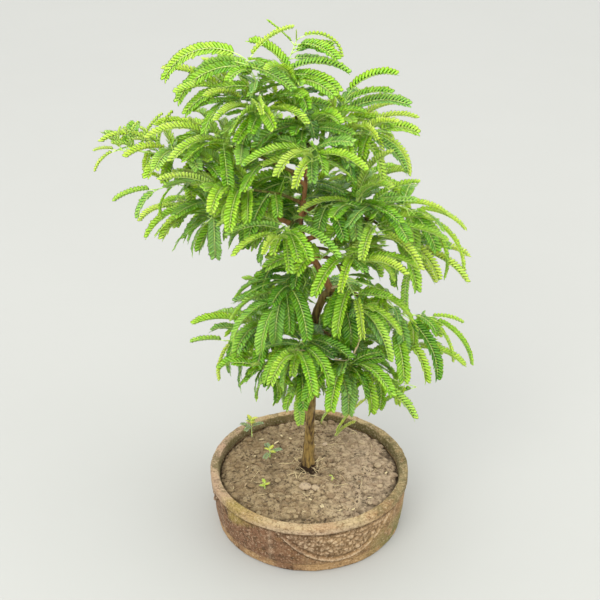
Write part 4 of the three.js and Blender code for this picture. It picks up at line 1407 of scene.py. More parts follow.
@dataclass(frozen=True)
class ClayFinish(Finish):
    """Old fired clay: a buff lip, a stained brown body, moss low on one side, with painted shade in its
    grooves, pits and under the lip, and painted highlights on its raised relief and grain.
    """

    buff: Colour = (0.4, 0.3, 0.145)
    pink: Colour = (0.34, 0.225, 0.15)
    brown: Colour = (0.18, 0.095, 0.038)
    rose: Colour = (0.17, 0.085, 0.046)
    olive: Colour = (0.13, 0.105, 0.04)
    dark: Colour = (0.03, 0.017, 0.008)
    ochre: Colour = (0.26, 0.19, 0.05)
    moss: Colour = (0.1, 0.12, 0.025)
    light: Colour = (0.36, 0.225, 0.1)
    bloom: Colour = (0.58, 0.45, 0.29)
    lip_low: float = 0.0735
    depth: float = 0.0013

    def facing(self, recipe: Recipe, x: Value, y: Value, azimuth: float, spread: float) -> Value:
        """How much a place faces an azimuth.

        Args:
            recipe: The recipe.
            x: First coordinate.
            y: Second coordinate.
            azimuth: The azimuth, in degrees from +X.
            spread: How far to either side it fades out, in degrees.

        Returns:
            1 at the azimuth, 0 beyond the spread.
        """
        turn = math.radians(azimuth)
        reach = recipe.math("SQRT", x * x + y * y)
        near = (x * math.cos(turn) + y * math.sin(turn)) / reach
        return recipe.ranged(near, math.cos(math.radians(spread)), 1)

    def inputs(self, recipe: Recipe) -> Dict[str, Number]:
        """The clay's inputs: body, lip, foot, stains and moss, in the order they lie, then painted
        highlights and painted shade.
        """
        x, y, z = recipe.axes()
        groove, ridge = recipe.number("groove"), recipe.number("ridge")
        broad, blotch = recipe.noise(16, 5), recipe.noise(46, 6)
        fleck, grain = recipe.noise(125, 6), recipe.noise(330, 5)
        # The grain's low spots get painted shade and its high spots a painted highlight, as its bump
        # does
        painted_pit_shade, crumbs = recipe.ranged(grain, 0.36, 0.47, 1, 0), recipe.ranged(grain, 0.54, 0.66)
        deep = recipe.mix(0.3, self.dark, self.brown)
        body = recipe.mix(recipe.ranged(fleck, 0.36, 0.56), deep, self.brown)
        body = recipe.mix(recipe.ranged(blotch, 0.44, 0.66) * 0.8, body, self.light)
        right = self.facing(recipe, x, y, -35, 70)
        body = recipe.mix(right * recipe.ranged(broad, 0.3, 0.6) * 0.7, body, self.light)
        left = self.facing(recipe, x, y, -132, 58)
        body = recipe.mix(left * recipe.ranged(blotch, 0.3, 0.5) * 0.85, body, self.rose)
        body = recipe.mix(left * recipe.ranged(fleck, 0.4, 0.5, 1, 0) * 0.7, body, deep)
        lip = recipe.mix(recipe.ranged(broad, 0.42, 0.62), self.buff, self.light)
        worn = self.facing(recipe, x, y, 175, 62)
        grimy = recipe.mix(recipe.ranged(broad, 0.35, 0.6), self.olive, self.pink)
        lip = recipe.mix(worn * recipe.ranged(blotch, 0.3, 0.6, 0.5, 1), lip, grimy)
        lip = recipe.mix(worn * recipe.ranged(fleck, 0.5, 0.64) * 0.8, lip, self.bloom)
        mouldy = self.facing(recipe, x, y, 0, 62)
        lip = recipe.mix(mouldy * recipe.ranged(blotch, 0.32, 0.6, 0.35, 1), lip, self.olive)
        front = self.facing(recipe, x, y, -95, 50)
        side = recipe.ranged(z, 0.078, 0.087, 1, 0)
        lip = recipe.mix(front * (0.3 + side * 0.5), lip, recipe.mix(0.5, self.pink, self.bloom))
        lip = recipe.mix(recipe.ranged(blotch, 0.5, 0.62) * (1.0 - front * 0.7) * 0.6, lip, self.olive)
        lip = recipe.mix(recipe.ranged(fleck, 0.5, 0.66) * 0.6, lip, self.brown)
        reach = recipe.math("SQRT", x * x + y * y)
        inside = recipe.ranged(reach, 0.1362, 0.139, 1, 0)
        lip = recipe.mix(inside * recipe.ranged(blotch, 0.3, 0.55, 0.6, 0.95), lip, self.olive)
        colour = recipe.mix(recipe.ranged(z, self.lip_low, self.lip_low + 0.0015), body, lip)
        turned = recipe.math("ARCTAN2", y, x) * (180 / math.pi)
        sharp = recipe.ranged(turned, -146, -143) * recipe.ranged(turned, -136, -104, 1, 0)
        low_end = recipe.ranged(turned, -145, -108, 0.046, 0.073)
        spill = sharp * recipe.ranged(z - low_end, 0, 0.014)
        colour = recipe.mix(spill * recipe.ranged(blotch, 0.3, 0.6, 0.35, 0.85), colour, self.ochre)
        foot = recipe.ranged(z, 0.012, 0.02, 1, 0)
        colour = recipe.mix(foot * recipe.ranged(broad, 0.35, 0.55) * 0.85, colour, self.light)
        mossy = self.facing(recipe, x, y, -4, 62) * recipe.ranged(z, 0.02, 0.066, 1, 0)
        colour = recipe.mix(mossy * recipe.ranged(blotch, 0.36, 0.56) * 0.8, colour, self.moss)
        # Painted highlight on the raised cords, lumps and strips
        colour = recipe.mix(ridge * recipe.ranged(fleck, 0.3, 0.6) * 0.6, colour, self.bloom)
        # Painted shade in the grooves, between the fill's lumps and under the lip
        colour = recipe.mix(groove * 0.9, colour, deep)
        # Painted shade in the grain's pits, then a painted highlight on its crumbs
        colour = recipe.mix(painted_pit_shade * 0.5, colour, self.dark)
        colour = recipe.mix(crumbs * 0.4, colour, self.bloom)
        height = grain * 0.8 + fleck * 0.9 + blotch * 0.4
        return {
            "Base Color": colour,
            "Roughness": recipe.ranged(grain, 0.2, 0.8, 0.98, 0.8),
            "Normal": recipe.bump(height, self.depth),
            "Specular IOR Level": 0.25,
        }


@dataclass(frozen=True)
class SoilFinish(Finish):
    """Dry garden soil: pale crumbs over darker hollows, whose darkness is painted shade."""

    pale: Colour = (0.38, 0.29, 0.16)
    mid: Colour = (0.19, 0.125, 0.062)
    dark: Colour = (0.028, 0.016, 0.008)
    brown_left: Colour = (0.15, 0.105, 0.045)
    grey: Colour = (0.4, 0.31, 0.215)
    rock: Colour = (0.52, 0.4, 0.29)
    depth: float = 0.002

    def inputs(self, recipe: Recipe) -> Dict[str, Number]:
        """The soil's inputs: crumb, painted shade in pits and hollows, and grit over broad patches."""
        tone, hollow = recipe.number("tone"), recipe.number("hollow")
        x = recipe.axes()[0]
        broad, patch = recipe.noise(24, 4), recipe.noise(85, 5)
        crumb, fine = recipe.noise(240, 6), recipe.noise(800, 4)
        grit = recipe.cells(330)
        rough = recipe.ranged(broad, 0.4, 0.56)
        shade = patch * 0.45 + crumb * 0.3 + broad * 0.25 + (tone - 0.5) * 0.4
        colour = recipe.mix(recipe.ranged(shade, 0.4, 0.6), self.mid, self.pale)
        # Darker and browner towards the left
        colour = recipe.mix(recipe.ranged(x, -0.1, 0.05, 0.9, 0) * patch, colour, self.brown_left)
        colour = recipe.mix(recipe.ranged(x, 0.0, 0.09, 0, 0.8) * patch, colour, self.grey)
        # Painted shade in the crumb's low spots
        painted_pit_shade = recipe.ranged(crumb, 0.38, 0.48, 1, 0) * (0.25 + rough * 0.6)
        colour = recipe.mix(painted_pit_shade, colour, self.dark)
        stones = recipe.ranged(grit, 0.1, 0.2, 1, 0)
        colour = recipe.mix(stones * rough * 0.7, colour, self.grey)
        colour = recipe.mix(recipe.ranged(fine, 0.5, 0.66) * 0.35, colour, self.rock)
        colour = recipe.mix(recipe.ranged(tone, 1.0, 1.5) * 0.75, colour, self.rock)
        # Painted shade in the hollows, along the wall and round the trunk
        colour = recipe.mix(hollow * 0.92, colour, self.dark)
        height = crumb * (0.3 + rough * 0.8) + patch * 0.5 + stones * 0.2 + fine * 0.15
        return {
            "Base Color": colour,
            "Roughness": recipe.ranged(crumb, 0.2, 0.8, 1, 0.88),
            "Normal": recipe.bump(height, self.depth),
            "Specular IOR Level": 0.15,
        }


@dataclass(frozen=True)
class StrawFinish(Finish):
    """Dry straw, rootlets and fallen leaflets."""

    pale: Colour = (0.62, 0.5, 0.27)
    brown: Colour = (0.24, 0.14, 0.06)

    def inputs(self, recipe: Recipe) -> Dict[str, Number]:
        """The straw's inputs: a tone for each straw, with fibres."""
        tone = recipe.number("tone")
        patch = recipe.noise(240, 4)
        fibres = recipe.noise(1500, 3)
        colour = recipe.mix(recipe.ranged(tone + (patch - 0.5) * 0.6, 0.2, 0.8), self.brown, self.pale)
        colour = recipe.mix(recipe.ranged(fibres, 0.5, 0.7) * 0.3, colour, self.brown)
        return {
            "Base Color": colour,
            "Roughness": recipe.ranged(patch, 0.2, 0.8, 0.9, 0.65),
            "Normal": recipe.bump(fibres, 0.0002),
        }


@dataclass(frozen=True)
class FloorFinish(Finish):
    """A plain pale floor."""

    colour: Colour = (0.4, 0.4, 0.37)
    worn: Colour = (0.36, 0.36, 0.33)

    def inputs(self, recipe: Recipe) -> Dict[str, Number]:
        """The floor's inputs: a faint cloud."""
        cloud = recipe.noise(3, 3)
        colour = recipe.mix(recipe.ranged(cloud, 0.3, 0.7) * 0.1, self.colour, self.worn)
        return {"Base Color": colour, "Roughness": 0.8, "Specular IOR Level": 0.2}


class Slot(Enum):
    """The record's material slots."""

    CLAY = "clay"
    SOIL = "soil"
    BARK = "bark"
    LEAF_YOUNG = "leaf_young"
    LEAF_GREEN = "leaf_green"
    LEAF_DARK = "leaf_dark"
    WEED = "weed_leaf"


def dress(piece: bpy.types.Object, material: bpy.types.Material, slot: Slot, *nodes: str) -> None:
    """Gives a piece its finish and its place in the frame.

    Args:
        piece: The piece.
        material: Its material.
        slot: Its slot in the record; not used.
        nodes: The solid model's nodes that it stands for.
    """
    piece.data.materials.clear()
    piece.data.materials.append(material)
    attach(piece, BODY)
    if nodes:
        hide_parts(*nodes)
    log.info("%s: %d points, %d faces", piece.name, len(piece.data.vertices), len(piece.data.polygons))


def quarter(steps: int) -> List[Tuple[float, float]]:
    """Sine and cosine at even steps of a quarter turn, without its start."""
    turns = [step / steps * math.pi / 2 for step in range(1, steps + 1)]
    return [(math.sin(turn), math.cos(turn)) for turn in turns]


@dataclass
class Pot:
    """The low round pot: heavy lip, foot band and three swags in relief."""

    rim_radius: float = 150.0
    height: float = 88.0
    rim_wall: float = 13.0
    rim_round: float = 2.6
    lip_height: float = 13.0
    body_top: float = 147.0
    body_foot: float = 139.0
    foot_height: float = 12.0
    foot_step: float = 1.2
    foot_round: float = 3.0
    inner_foot: float = 130.0
    floor: float = 9.0
    sides: int = 480
    rows: int = 44
    swags: int = 3
    swag_middle: float = -72.5
    swag_half_angle: float = 37.5
    swag_drop: float = 56.0
    swag_raise: float = 2.0
    crumple_size: float = 8.0
    lip_fade: float = 7.0
    swell: float = 0.3
    cord_width: float = 4.2
    cord_raise: float = 2.4
    groove_width: float = 3.2
    groove_depth: float = 1.6
    fill_from: float = 9.0
    fill_groove_width: float = 2.2
    strip_off: float = 3.0
    strip_width: float = 1.6
    strip_raise: float = 0.9
    side_from: float = 137.0
    smooth_below: float = 50.0
    drain_radius: float = 6.0
    drain_circle: float = 45.0
    drains: int = 3

    def inner_radius(self, height: float) -> float:
        """Radius of the inner wall at a height."""
        share = (height - self.floor) / (self.height - self.floor)
        return blend_of(self.inner_foot, self.rim_radius - self.rim_wall, share)

    def profile(self) -> List[Tuple[float, float]]:
        """Radius and height of each ring, from the foot outside to the floor inside."""
        body_low = self.foot_height + 1.5
        body_high = self.height - self.lip_height
        foot = self.body_foot + self.foot_step
        edge = self.body_foot - self.foot_round
        rings = [(edge, 0.0)]
        rings += [
            (edge + (self.foot_round + self.foot_step) * sin, self.foot_round * (1 - cos))
            for sin, cos in quarter(4)]
        rings += [(foot, height) for height in np.linspace(self.foot_round, self.foot_height, 6)[1:]]
        for step in range(self.rows + 1):
            share = step / self.rows
            rings.append((
                blend_of(self.body_foot, self.body_top, share ** self.swell),
                blend_of(body_low, body_high, share)))
        rings += self.lip(body_high)
        inner = self.rim_radius - self.rim_wall
        heights = np.linspace(self.height - 2 * self.rim_round, self.floor, 12)[1:]
        rings += [(self.inner_radius(height), height) for height in heights]
        rings.append((inner * 0.5, self.floor))
        return rings

    def lip(self, low: float) -> List[Tuple[float, float]]:
        """Rings of the lip, from under its overhang to its inner edge.

        Args:
            low: Height of its lower edge.

        Returns:
            Radius and height of each ring.
        """
        inner = self.rim_radius - self.rim_wall
        outer = self.rim_radius
        curl = self.rim_round
        rings = [(self.body_top + 1.6, low - 0.2), (outer - 1.2, low + 0.4), (outer - 0.1, low + 1.6)]
        rings += [(outer, height) for height in np.linspace(low + 3, self.height - curl, 6)]
        rings += [
            (outer - curl * (1 - cos), self.height - curl * (1 - sin)) for sin, cos in quarter(5)]
        rings += [(radius, self.height) for radius in np.linspace(outer - curl, inner + curl, 7)[1:]]
        return rings + [
            (inner + curl * (1 - sin), self.height - curl * (1 - cos)) for sin, cos in quarter(5)]

    @staticmethod
    def wobble(place: Vector) -> float:
        """How far the thrown clay stands out or in at a place."""
        broad, fine = noise.noise(place * 0.018) * 0.9, noise.noise(place * 0.09) * 0.6
        return broad + fine + noise.noise(place * 0.24) * 0.3

    def crumple(self, place: Array) -> float:
        """How high a swag's rough fill is at a place: lumps with furrows between, from 0 to 1."""
        here = Vector(place) / self.crumple_size
        here += noise.noise_vector(here * 0.6) * 0.5
        near, next_near = noise.voronoi(here)[0][:2]
        return min(1.0, (next_near - near) * 2.4)

    def relief(self, angle: Array, height: Array, lump: Array) -> Tuple[Array, Array]:
        """The swags' relief on the body.

        Args:
            angle: Angle about the axis, in degrees, of each place.
            height: Its height.
            lump: How high the rough fill is there.

        Returns:
            How far each place stands out, and how much painted shade it gets in the grooves and between
            the fill's lumps.
        """
        turn = 360 / self.swags
        offset = (angle - self.swag_middle + turn / 2) % turn - turn / 2
        across = np.abs(offset) / self.swag_half_angle
        edge = self.height - self.lip_height - self.swag_drop * (1 - np.minimum(across, 1) ** 2)
        above = height - edge
        inside = across < 1
        cord = fade(above - self.cord_width / 2, self.cord_width / 2)
        groove = fade(above + self.groove_width / 2, self.groove_width / 2)
        inner = fade(above - self.fill_from, self.fill_groove_width)
        below_lip = np.clip((self.height - self.lip_height - height) / self.lip_fade, 0, 1)
        fill = self.swag_raise * lump * np.clip((above - self.fill_from) / 3, 0, 1) * below_lip
        out = np.where(inside, self.cord_raise * cord - self.groove_depth * groove + fill - inner, 0)
        # Painted shade: dark grows in the grooves and between the fill's lumps
        hollow = np.clip(0.8 - 1.6 * lump, 0, 1) * (above > self.fill_from + 1)
        dark = np.where(inside, np.clip(groove + 0.8 * inner + hollow, 0, 1), 0)
        strip = fade(np.abs(offset) - self.swag_half_angle - self.strip_off, self.strip_width)
        return out + self.strip_raise * strip, dark

    def build(self) -> bpy.types.Object:
        """Throws the pot, presses its relief and cuts its drains.

        Returns:
            The pot.
        """
        piece = raise_rings("pot_fine", self.profile(), self.sides)
        places = Bench.places(piece)
        radius = np.hypot(places[:, 0], places[:, 1])
        angle = np.degrees(np.arctan2(places[:, 1], places[:, 0]))
        high = self.height - self.lip_height - 0.3
        on_side = (places[:, 2] > self.foot_height + 1) & (places[:, 2] < high)
        on_side &= radius > self.side_from
        lump = np.array([self.crumple(place) if side else 0.0 for place, side in zip(places, on_side)])
        out, dark = self.relief(angle, places[:, 2], lump)
        wobble = np.array([self.wobble(Vector(place)) for place in places])
        outside = radius > self.inner_foot * 0.9
        shift = np.where(on_side, out, 0) + np.where(outside, wobble - 0.3, 0)
        shift = np.minimum(shift, self.rim_radius - radius)
        places[:, :2] *= (1 + shift / np.maximum(radius, 1))[:, None]
        on_top = places[:, 2] > self.height - self.rim_round
        places[:, 2] += np.where(on_top, np.minimum(wobble - 0.5, 0), 0)
        Bench.set_places(piece, places)
        # The groove number is painted shade: in the grooves, between the fill's lumps, and in a band
        # under the lip's overhang
        overhang = (places[:, 2] > high - 4) & (places[:, 2] < high + 1) & (radius > self.side_from)
        set_number(piece.data, "groove", np.where(on_side, dark, 0) * 0.8 + overhang * 0.5)
        # This number marks the raised relief for a painted highlight
        set_number(piece.data, "ridge", np.where(on_side, np.clip(out / self.cord_raise, 0, 1), 0))
        self.drill(piece)
        Bench.pick_up(piece)
        bpy.ops.object.shade_smooth_by_angle(angle=math.radians(self.smooth_below))
        return piece

    def drill(self, piece: bpy.types.Object) -> None:
        """Cuts the drain holes through the floor."""
        for hole in range(self.drains):
            turn = 2 * math.pi * hole / self.drains
            Bench.clear()
            bpy.ops.mesh.primitive_cylinder_add(
                vertices=24, radius=self.drain_radius * METRE, depth=4 * self.floor * METRE,
                location=(self.drain_circle * METRE * math.cos(turn),
                          self.drain_circle * METRE * math.sin(turn), 0))
            cutter = Bench.newest("drain")
            cut = piece.modifiers.new("drain", "BOOLEAN")
            cut.operation = "DIFFERENCE"
            cut.object = cutter
            Bench.pick_up(piece)
            bpy.ops.object.modifier_apply(modifier=cut.name)
            Bench.scrap(cutter)

    def dress(self) -> None:
        """Builds the pot and gives it its clay."""
        dress(self.build(), ClayFinish().material("fired_clay"), Slot.CLAY, "pot")


@dataclass
class Soil:
    """The pot's filling, with clods, pebbles, straw and fallen leaflets on it."""

    pot: Pot
    edge_height: float = 78.0
    mound: float = 5.0
    clod_height: float = 1.6
    clod_length: float = 34.0
    cells: int = 190
    clods: int = 460
    straws: int = 84
    leaflets: int = 26
    wall_gap: float = 0.6
    edge_drop: float = 5.5
    edge_width: float = 3.6
    trunk_drop: float = 6.0
    trunk_clear: float = 16.0
    big_clods: Sequence[Tuple[float, float, float, float]] = (
        (25, 61, 4.6, 1.3), (-6, -47, 10, 1.25), (9, -50, 7.5, 1.2), (2, -58, 5, 1.1),
        (34, -28, 2.6, 1.2))

    def edge(self) -> float:
        """Radius of the soil at its edge."""
        return self.pot.inner_radius(self.edge_height) - self.wall_gap

    def ground(self, x: float, y: float) -> float:
        """Height of the solid model's soil at a place."""
        share = min(1.0, math.hypot(x, y) / self.edge())
        pitch = 2 * math.pi / self.clod_length
        clods = math.sin(x * pitch) * math.cos(y * pitch * 1.3)
        swell = math.sin((x + y) * pitch * 0.7) / 2
        mound = self.mound * (1 - share * share)
        return self.edge_height + mound + self.clod_height * (clods + swell) * (1 - share)

    def surface(self, x: float, y: float) -> float:
        """Height of the dressed soil at a place, with its crumbs and the hollow at the trunk."""
        here = Vector((x, y, 0))
        rough = noise.fractal(here * 0.045, 0.8, 2.1, 3) * 1.8
        crumbs = noise.fractal(here * 0.16, 0.7, 2.0, 4) * 1.2
        near, next_near = noise.voronoi(here * 0.075 + noise.noise_vector(here * 0.05) * 0.4)[0][:2]
        broken = min(1.0, max(0.1, 0.55 + 1.5 * noise.noise(here * 0.028 + Vector((7, 3, 0)))))
        clod = broken * min(1.0, (next_near - near) * 3) * 3.2
        from_edge = self.edge() - math.hypot(x, y)
        drop = self.edge_drop * math.exp(-from_edge / self.edge_width)
        hollow = self.trunk_drop * math.exp(-((x + 1) ** 2 + (y - 2) ** 2) / 230)
        return self.ground(x, y) + rough + crumbs + clod - 1.6 - drop - hollow

    def build(self) -> bpy.types.Object:
        """Shapes the filling from a square grid that is rounded and closed below.

        Returns:
            The soil.
        """
        Bench.clear()
        bpy.ops.mesh.primitive_grid_add(x_subdivisions=self.cells, y_subdivisions=self.cells, size=2)
        piece = Bench.newest("soil_fine")
        places = Bench.places(piece) * METRE
        x, y = places[:, 0].copy(), places[:, 1].copy()
        places[:, 0] = x * np.sqrt(1 - y * y / 2) * self.edge()
        places[:, 1] = y * np.sqrt(1 - x * x / 2) * self.edge()
        tops = [self.surface(px, py) for px, py in places[:, :2]]
        places[:, 2] = tops
        Bench.set_places(piece, places)
        plain = np.array([self.ground(px, py) for px, py in places[:, :2]])
        depth = plain - places[:, 2]
        around = np.hypot(places[:, 0] + 1, places[:, 1] - 4)
        # Painted shade in the soil's low places, which take in its edge by the wall, and a painted
        # shadow ring round the trunk
        hollow = np.clip((depth - 0.8) / 3, 0, 0.85) + 0.6 * np.exp(-(around / 15) ** 2)
        Bench.pick_up(piece)
        Bench.edit()
        bpy.ops.mesh.region_to_loop()
        floor = self.pot.floor + GAP
        drop = (floor - self.edge_height) * METRE
        bpy.ops.mesh.extrude_region_move(TRANSFORM_OT_translate={"value": (0, 0, drop)})
        spread = (self.pot.inner_radius(floor) - self.wall_gap) / self.edge()
        bpy.ops.transform.resize(value=(spread, spread, 0), center_override=(0, 0, floor * METRE))
        bpy.ops.mesh.edge_face_add()
        bpy.ops.mesh.select_all(action="SELECT")
        bpy.ops.mesh.normals_make_consistent(inside=False)
        Bench.close()
        count = len(piece.data.vertices)
        # The sides and underside get full painted shade
        set_number(piece.data, "hollow", np.append(hollow, np.ones(count - len(hollow))))
        set_number(piece.data, "tone", np.full(count, 0.5))
        Bench.pick_up(piece)
        bpy.ops.object.shade_smooth_by_angle(angle=math.radians(60))
        return piece

    def clod_shapes(self) -> List[Tuple[Array, List[Array]]]:
        """Three uneven lumps of about unit size, modelled once for all clods.

        Returns:
            Points and faces of each.
        """
        shapes = []
        for seed in range(3):
            Bench.clear()
            bpy.ops.mesh.primitive_ico_sphere_add(subdivisions=2, radius=METRE)
            lump = Bench.newest("clod")
            Bench.edit()
            bpy.ops.transform.resize(value=(1, 0.82, 0.66))
            bpy.ops.transform.vertex_random(offset=0.16 * METRE, seed=seed + 1)
            Bench.close()
            shapes.append((Bench.places(lump), Bench.faces(lump)))
            Bench.scrap(lump)
        return shapes

    def scatter(self) -> bpy.types.Object:
        """Strews clods and pebbles over the soil.

        Returns:
            They, as one piece.
        """
        shapes = self.clod_shapes()
        loose = Surface("tone", "hollow")
        draw = Draw(CLOD_SEED)
        spots = list(self.big_clods)
        for _ in range(self.clods):
            reach = (self.edge() - 7) * math.sqrt(draw(0.02, 1))
            turn = draw(0, 2 * math.pi)
            size = 1.1 + 5.8 * draw(0, 1) ** 3
            spots.append((reach * math.cos(turn), reach * math.sin(turn), size, draw(0.1, 0.9)))
        for index, (x, y, size, tone) in enumerate(spots):
            if math.hypot(x, y - 12) < self.trunk_clear:
                continue
            points, faces = shapes[index % 3]
            placed = points @ turned_by(draw(0, 2 * math.pi), draw(-0.5, 0.5)).T * size
            flat = 0.55 if size > 3 else 0.9
            placed[:, 2] *= flat
            placed += vec(x, y, self.surface(x, y) + size * 0.12)
            loose.add(placed, faces, tone=tone)
        return loose.make("soil_clods")

    def straw(self) -> bpy.types.Object:
        """Lays straws and rootlets, most of them round the trunk.

        Returns:
            They, as one piece.
        """
        litter = Surface("tone")
        draw = Draw(STRAW_SEED)
        for index in range(self.straws):
            near = index % 2
            reach = draw(11, 34) if near else draw(20, self.edge() - 12)
            turn, heading = draw(0, 2 * math.pi), draw(0, 2 * math.pi)
            x, y = reach * math.cos(turn) - 2 * near, reach * math.sin(turn) + 6 * near
            length, bend = draw(9, 30), draw(-0.9, 0.9)
            shares = np.linspace(-0.5, 0.5, 7)
            turns = heading + bend * shares
            xs, ys = x + shares * length * np.cos(turns), y + shares * length * np.sin(turns)
            inside = np.hypot(xs, ys) < self.edge() - 3
            if not inside.all():
                continue
            zs = [self.surface(px, py) + 0.7 for px, py in zip(xs, ys)]
            route = np.stack([xs, ys, np.maximum(zs, np.mean(zs))], -1)
            thick = draw(0.25, 0.6)
            points, faces = sweep(route, thick * (1 - 0.6 * np.abs(shares)), 5)
            litter.add(points, faces, tone=draw(0.2, 1))
        return litter.make("soil_straw")

    def fallen(self, shape: "LeafletShape") -> bpy.types.Object:
        """Lays fallen leaflets on the soil.

        Args:
            shape: The leaflet.

        Returns:
            They, as one piece.
        """
        litter = Surface("tone")
        draw = Draw(FALLEN_SEED)
        for _ in range(self.leaflets):
            reach = (self.edge() - 12) * math.sqrt(draw(0.03, 1))
            turn, heading = draw(0, 2 * math.pi), draw(0, 2 * math.pi)
            x, y = reach * math.cos(turn), reach * math.sin(turn)
            size = vec(draw(5, 11), draw(2.6, 4), 4)
            placed = shape.points * size @ turned_by(heading, draw(-0.25, 0.25)).T
            litter.add(placed + vec(x, y, self.surface(x, y) + 1.2), shape.faces, tone=draw(0.3, 1))
        return litter.make("soil_leaflets")

    def dress(self, shape: "LeafletShape") -> None:
        """Builds the soil and what lies on it, with their finishes.

        Args:
            shape: The leaflet that has fallen on it.
        """
        earth, straw = SoilFinish().material("dry_soil"), StrawFinish().material("dry_straw")
        dress(self.build(), earth, Slot.SOIL, "soil")
        dress(self.scatter(), earth, Slot.SOIL)
        dress(self.straw(), straw, Slot.SOIL)
        dress(self.fallen(shape), straw, Slot.SOIL)


@dataclass
class Wood:
    """Trunk, leader, limbs and spurs, grown as one."""

    limbs: Sequence[Limb]
    sprays: Sequence[Spray]
    soil_top: float = 83.0
    root_flare: float = 3.6
    flare_length: float = 16.0
    spur_radius: float = 1.35
    main_sides: int = 28
    limb_sides: int = 10
    rows_per_mm: float = 0.42

    def radius(self, limb: Limb, path: Array, shares: Array) -> Array:
        """Radius of a limb along its path; the trunk flares out where it enters the soil."""
        radii = blend_of(limb.thick, limb.thin, shares) * 0.96
        if limb.on:
            return radii * (1 + 0.3 * np.exp(-(shares * length_of(path) / 7) ** 2))
        above = np.maximum(0, path[:, 2] - self.soil_top)
        return radii + self.root_flare * np.exp(-above / self.flare_length)

    def add_limb(self, wood: Surface, limb: Limb) -> None:
        """Adds a limb with the swellings and furrows of its bark."""
        is_main = limb.name in ("trunk", "leader")
        length = limb.length()
        steps = max(12, int(length * self.rows_per_mm * (1.0 if is_main else 0.8)))
        path = limb.path(steps)
        shares = np.linspace(0, 1, steps + 1)
        sides = self.main_sides if is_main else self.limb_sides
        radii = self.radius(limb, path, shares)
        points, faces = sweep(path, radii, sides)
        centres = np.repeat(path, sides, axis=0)
        thick = np.repeat(radii, sides)
        out = points - centres
        bumps = []
        for centre, away, size in zip(centres, out, thick):
            here = Vector(centre * 0.02 + away * 0.22)
            fine = Vector(centre * 0.11 + away * 0.6)
            bumps.append(noise.noise(here) * 0.17 + noise.noise(fine) * (0.09 if size > 3 else 0.04))
        nodes = 0.07 * np.exp(-((np.repeat(shares * length, sides) % 31 - 15) / 2.4) ** 2)
        points = centres + out * (1 + np.array(bumps) + nodes)[:, None]
        girth = np.clip((thick - 1.6) / 4, 0, 1)
        wood.add(points, faces, girth=girth)

    def build(self) -> bpy.types.Object:
        """Grows the wood.

        Returns:
            The piece.
        """
        wood = Surface("girth")
        for limb in self.limbs:
            self.add_limb(wood, limb)
        for spray in self.sprays:
            if spray.plan.at_end:
                continue
            shares = np.linspace(0, 1, 8)
            route = spray.plan.root + shares[:, None] * SPUR_LENGTH * spray.twig.grain
            radii = self.spur_radius * (1 + 0.5 * np.exp(-(shares * 4) ** 2)) * (1 - 0.12 * shares)
            wood.add(*sweep(route, radii, 8), girth=0.05)
        return wood.make("wood_fine")

    def dress(self) -> None:
        """Builds the wood and gives it its bark."""
        dress(self.build(), BarkFinish().material("bark"), Slot.BARK, "tree_wood")


@dataclass
class BareTwigs:
    """Dead, pale twigs that have lost their leaves, in front of the crown's lower part."""

    limbs: Dict[str, Limb]
    thick: float = 1.9
    thin: float = 0.9
    routes: Sequence[Tuple[str, float, Sequence[Point]]] = (
        ("side", 0.2, [(50, -44, 360), (64, -54, 345), (66, -58, 338), (59, -62, 319), (62, -62, 311),
                       (70, -60, 277)]),
        ("", 0.3, [(64, -54, 345), (70, -56, 347), (76, -58, 346)]),
        ("", 0.5, [(59, -62, 319), (48, -66, 314), (30, -70, 321), (12, -74, 331), (-2, -76, 336),
                   (-21, -78, 339), (-36, -80, 337), (-49, -82, 332)]),
        ("leader", 0.02, [(36, -8, 399), (44, -14, 404), (56, -20, 401)]),
    )

    def build(self) -> bpy.types.Object:
        """Grows the twigs, those on wood from inside it.

        Returns:
            They, as one piece.
        """
        wood = Surface("tone")
        for on, at, points in self.routes:
            route = [vec(*point) for point in points]
            if on:
                route.insert(0, self.limbs[on].point(at))
            limb = Limb("twig", "", 0, self.thick, 0, 0, 0, 1, points, route=route)
            steps = 8 * len(route)
            radii = blend_of(self.thick, self.thin, np.linspace(0, 1, steps + 1)) * (1 if on else 0.7)
            wood.add(*sweep(limb.path(steps), radii, 8), tone=0.9)
        return wood.make("bare_twigs")

    def dress(self) -> None:
        """Builds the twigs and gives them their finish."""
        finish = StrawFinish(pale=(0.68, 0.54, 0.3), brown=(0.46, 0.3, 0.13))
        dress(self.build(), finish.material("bare_twig"), Slot.BARK)


LEAF_NUMBERS = ("age", "tone", "cool", "along", "across", "under")


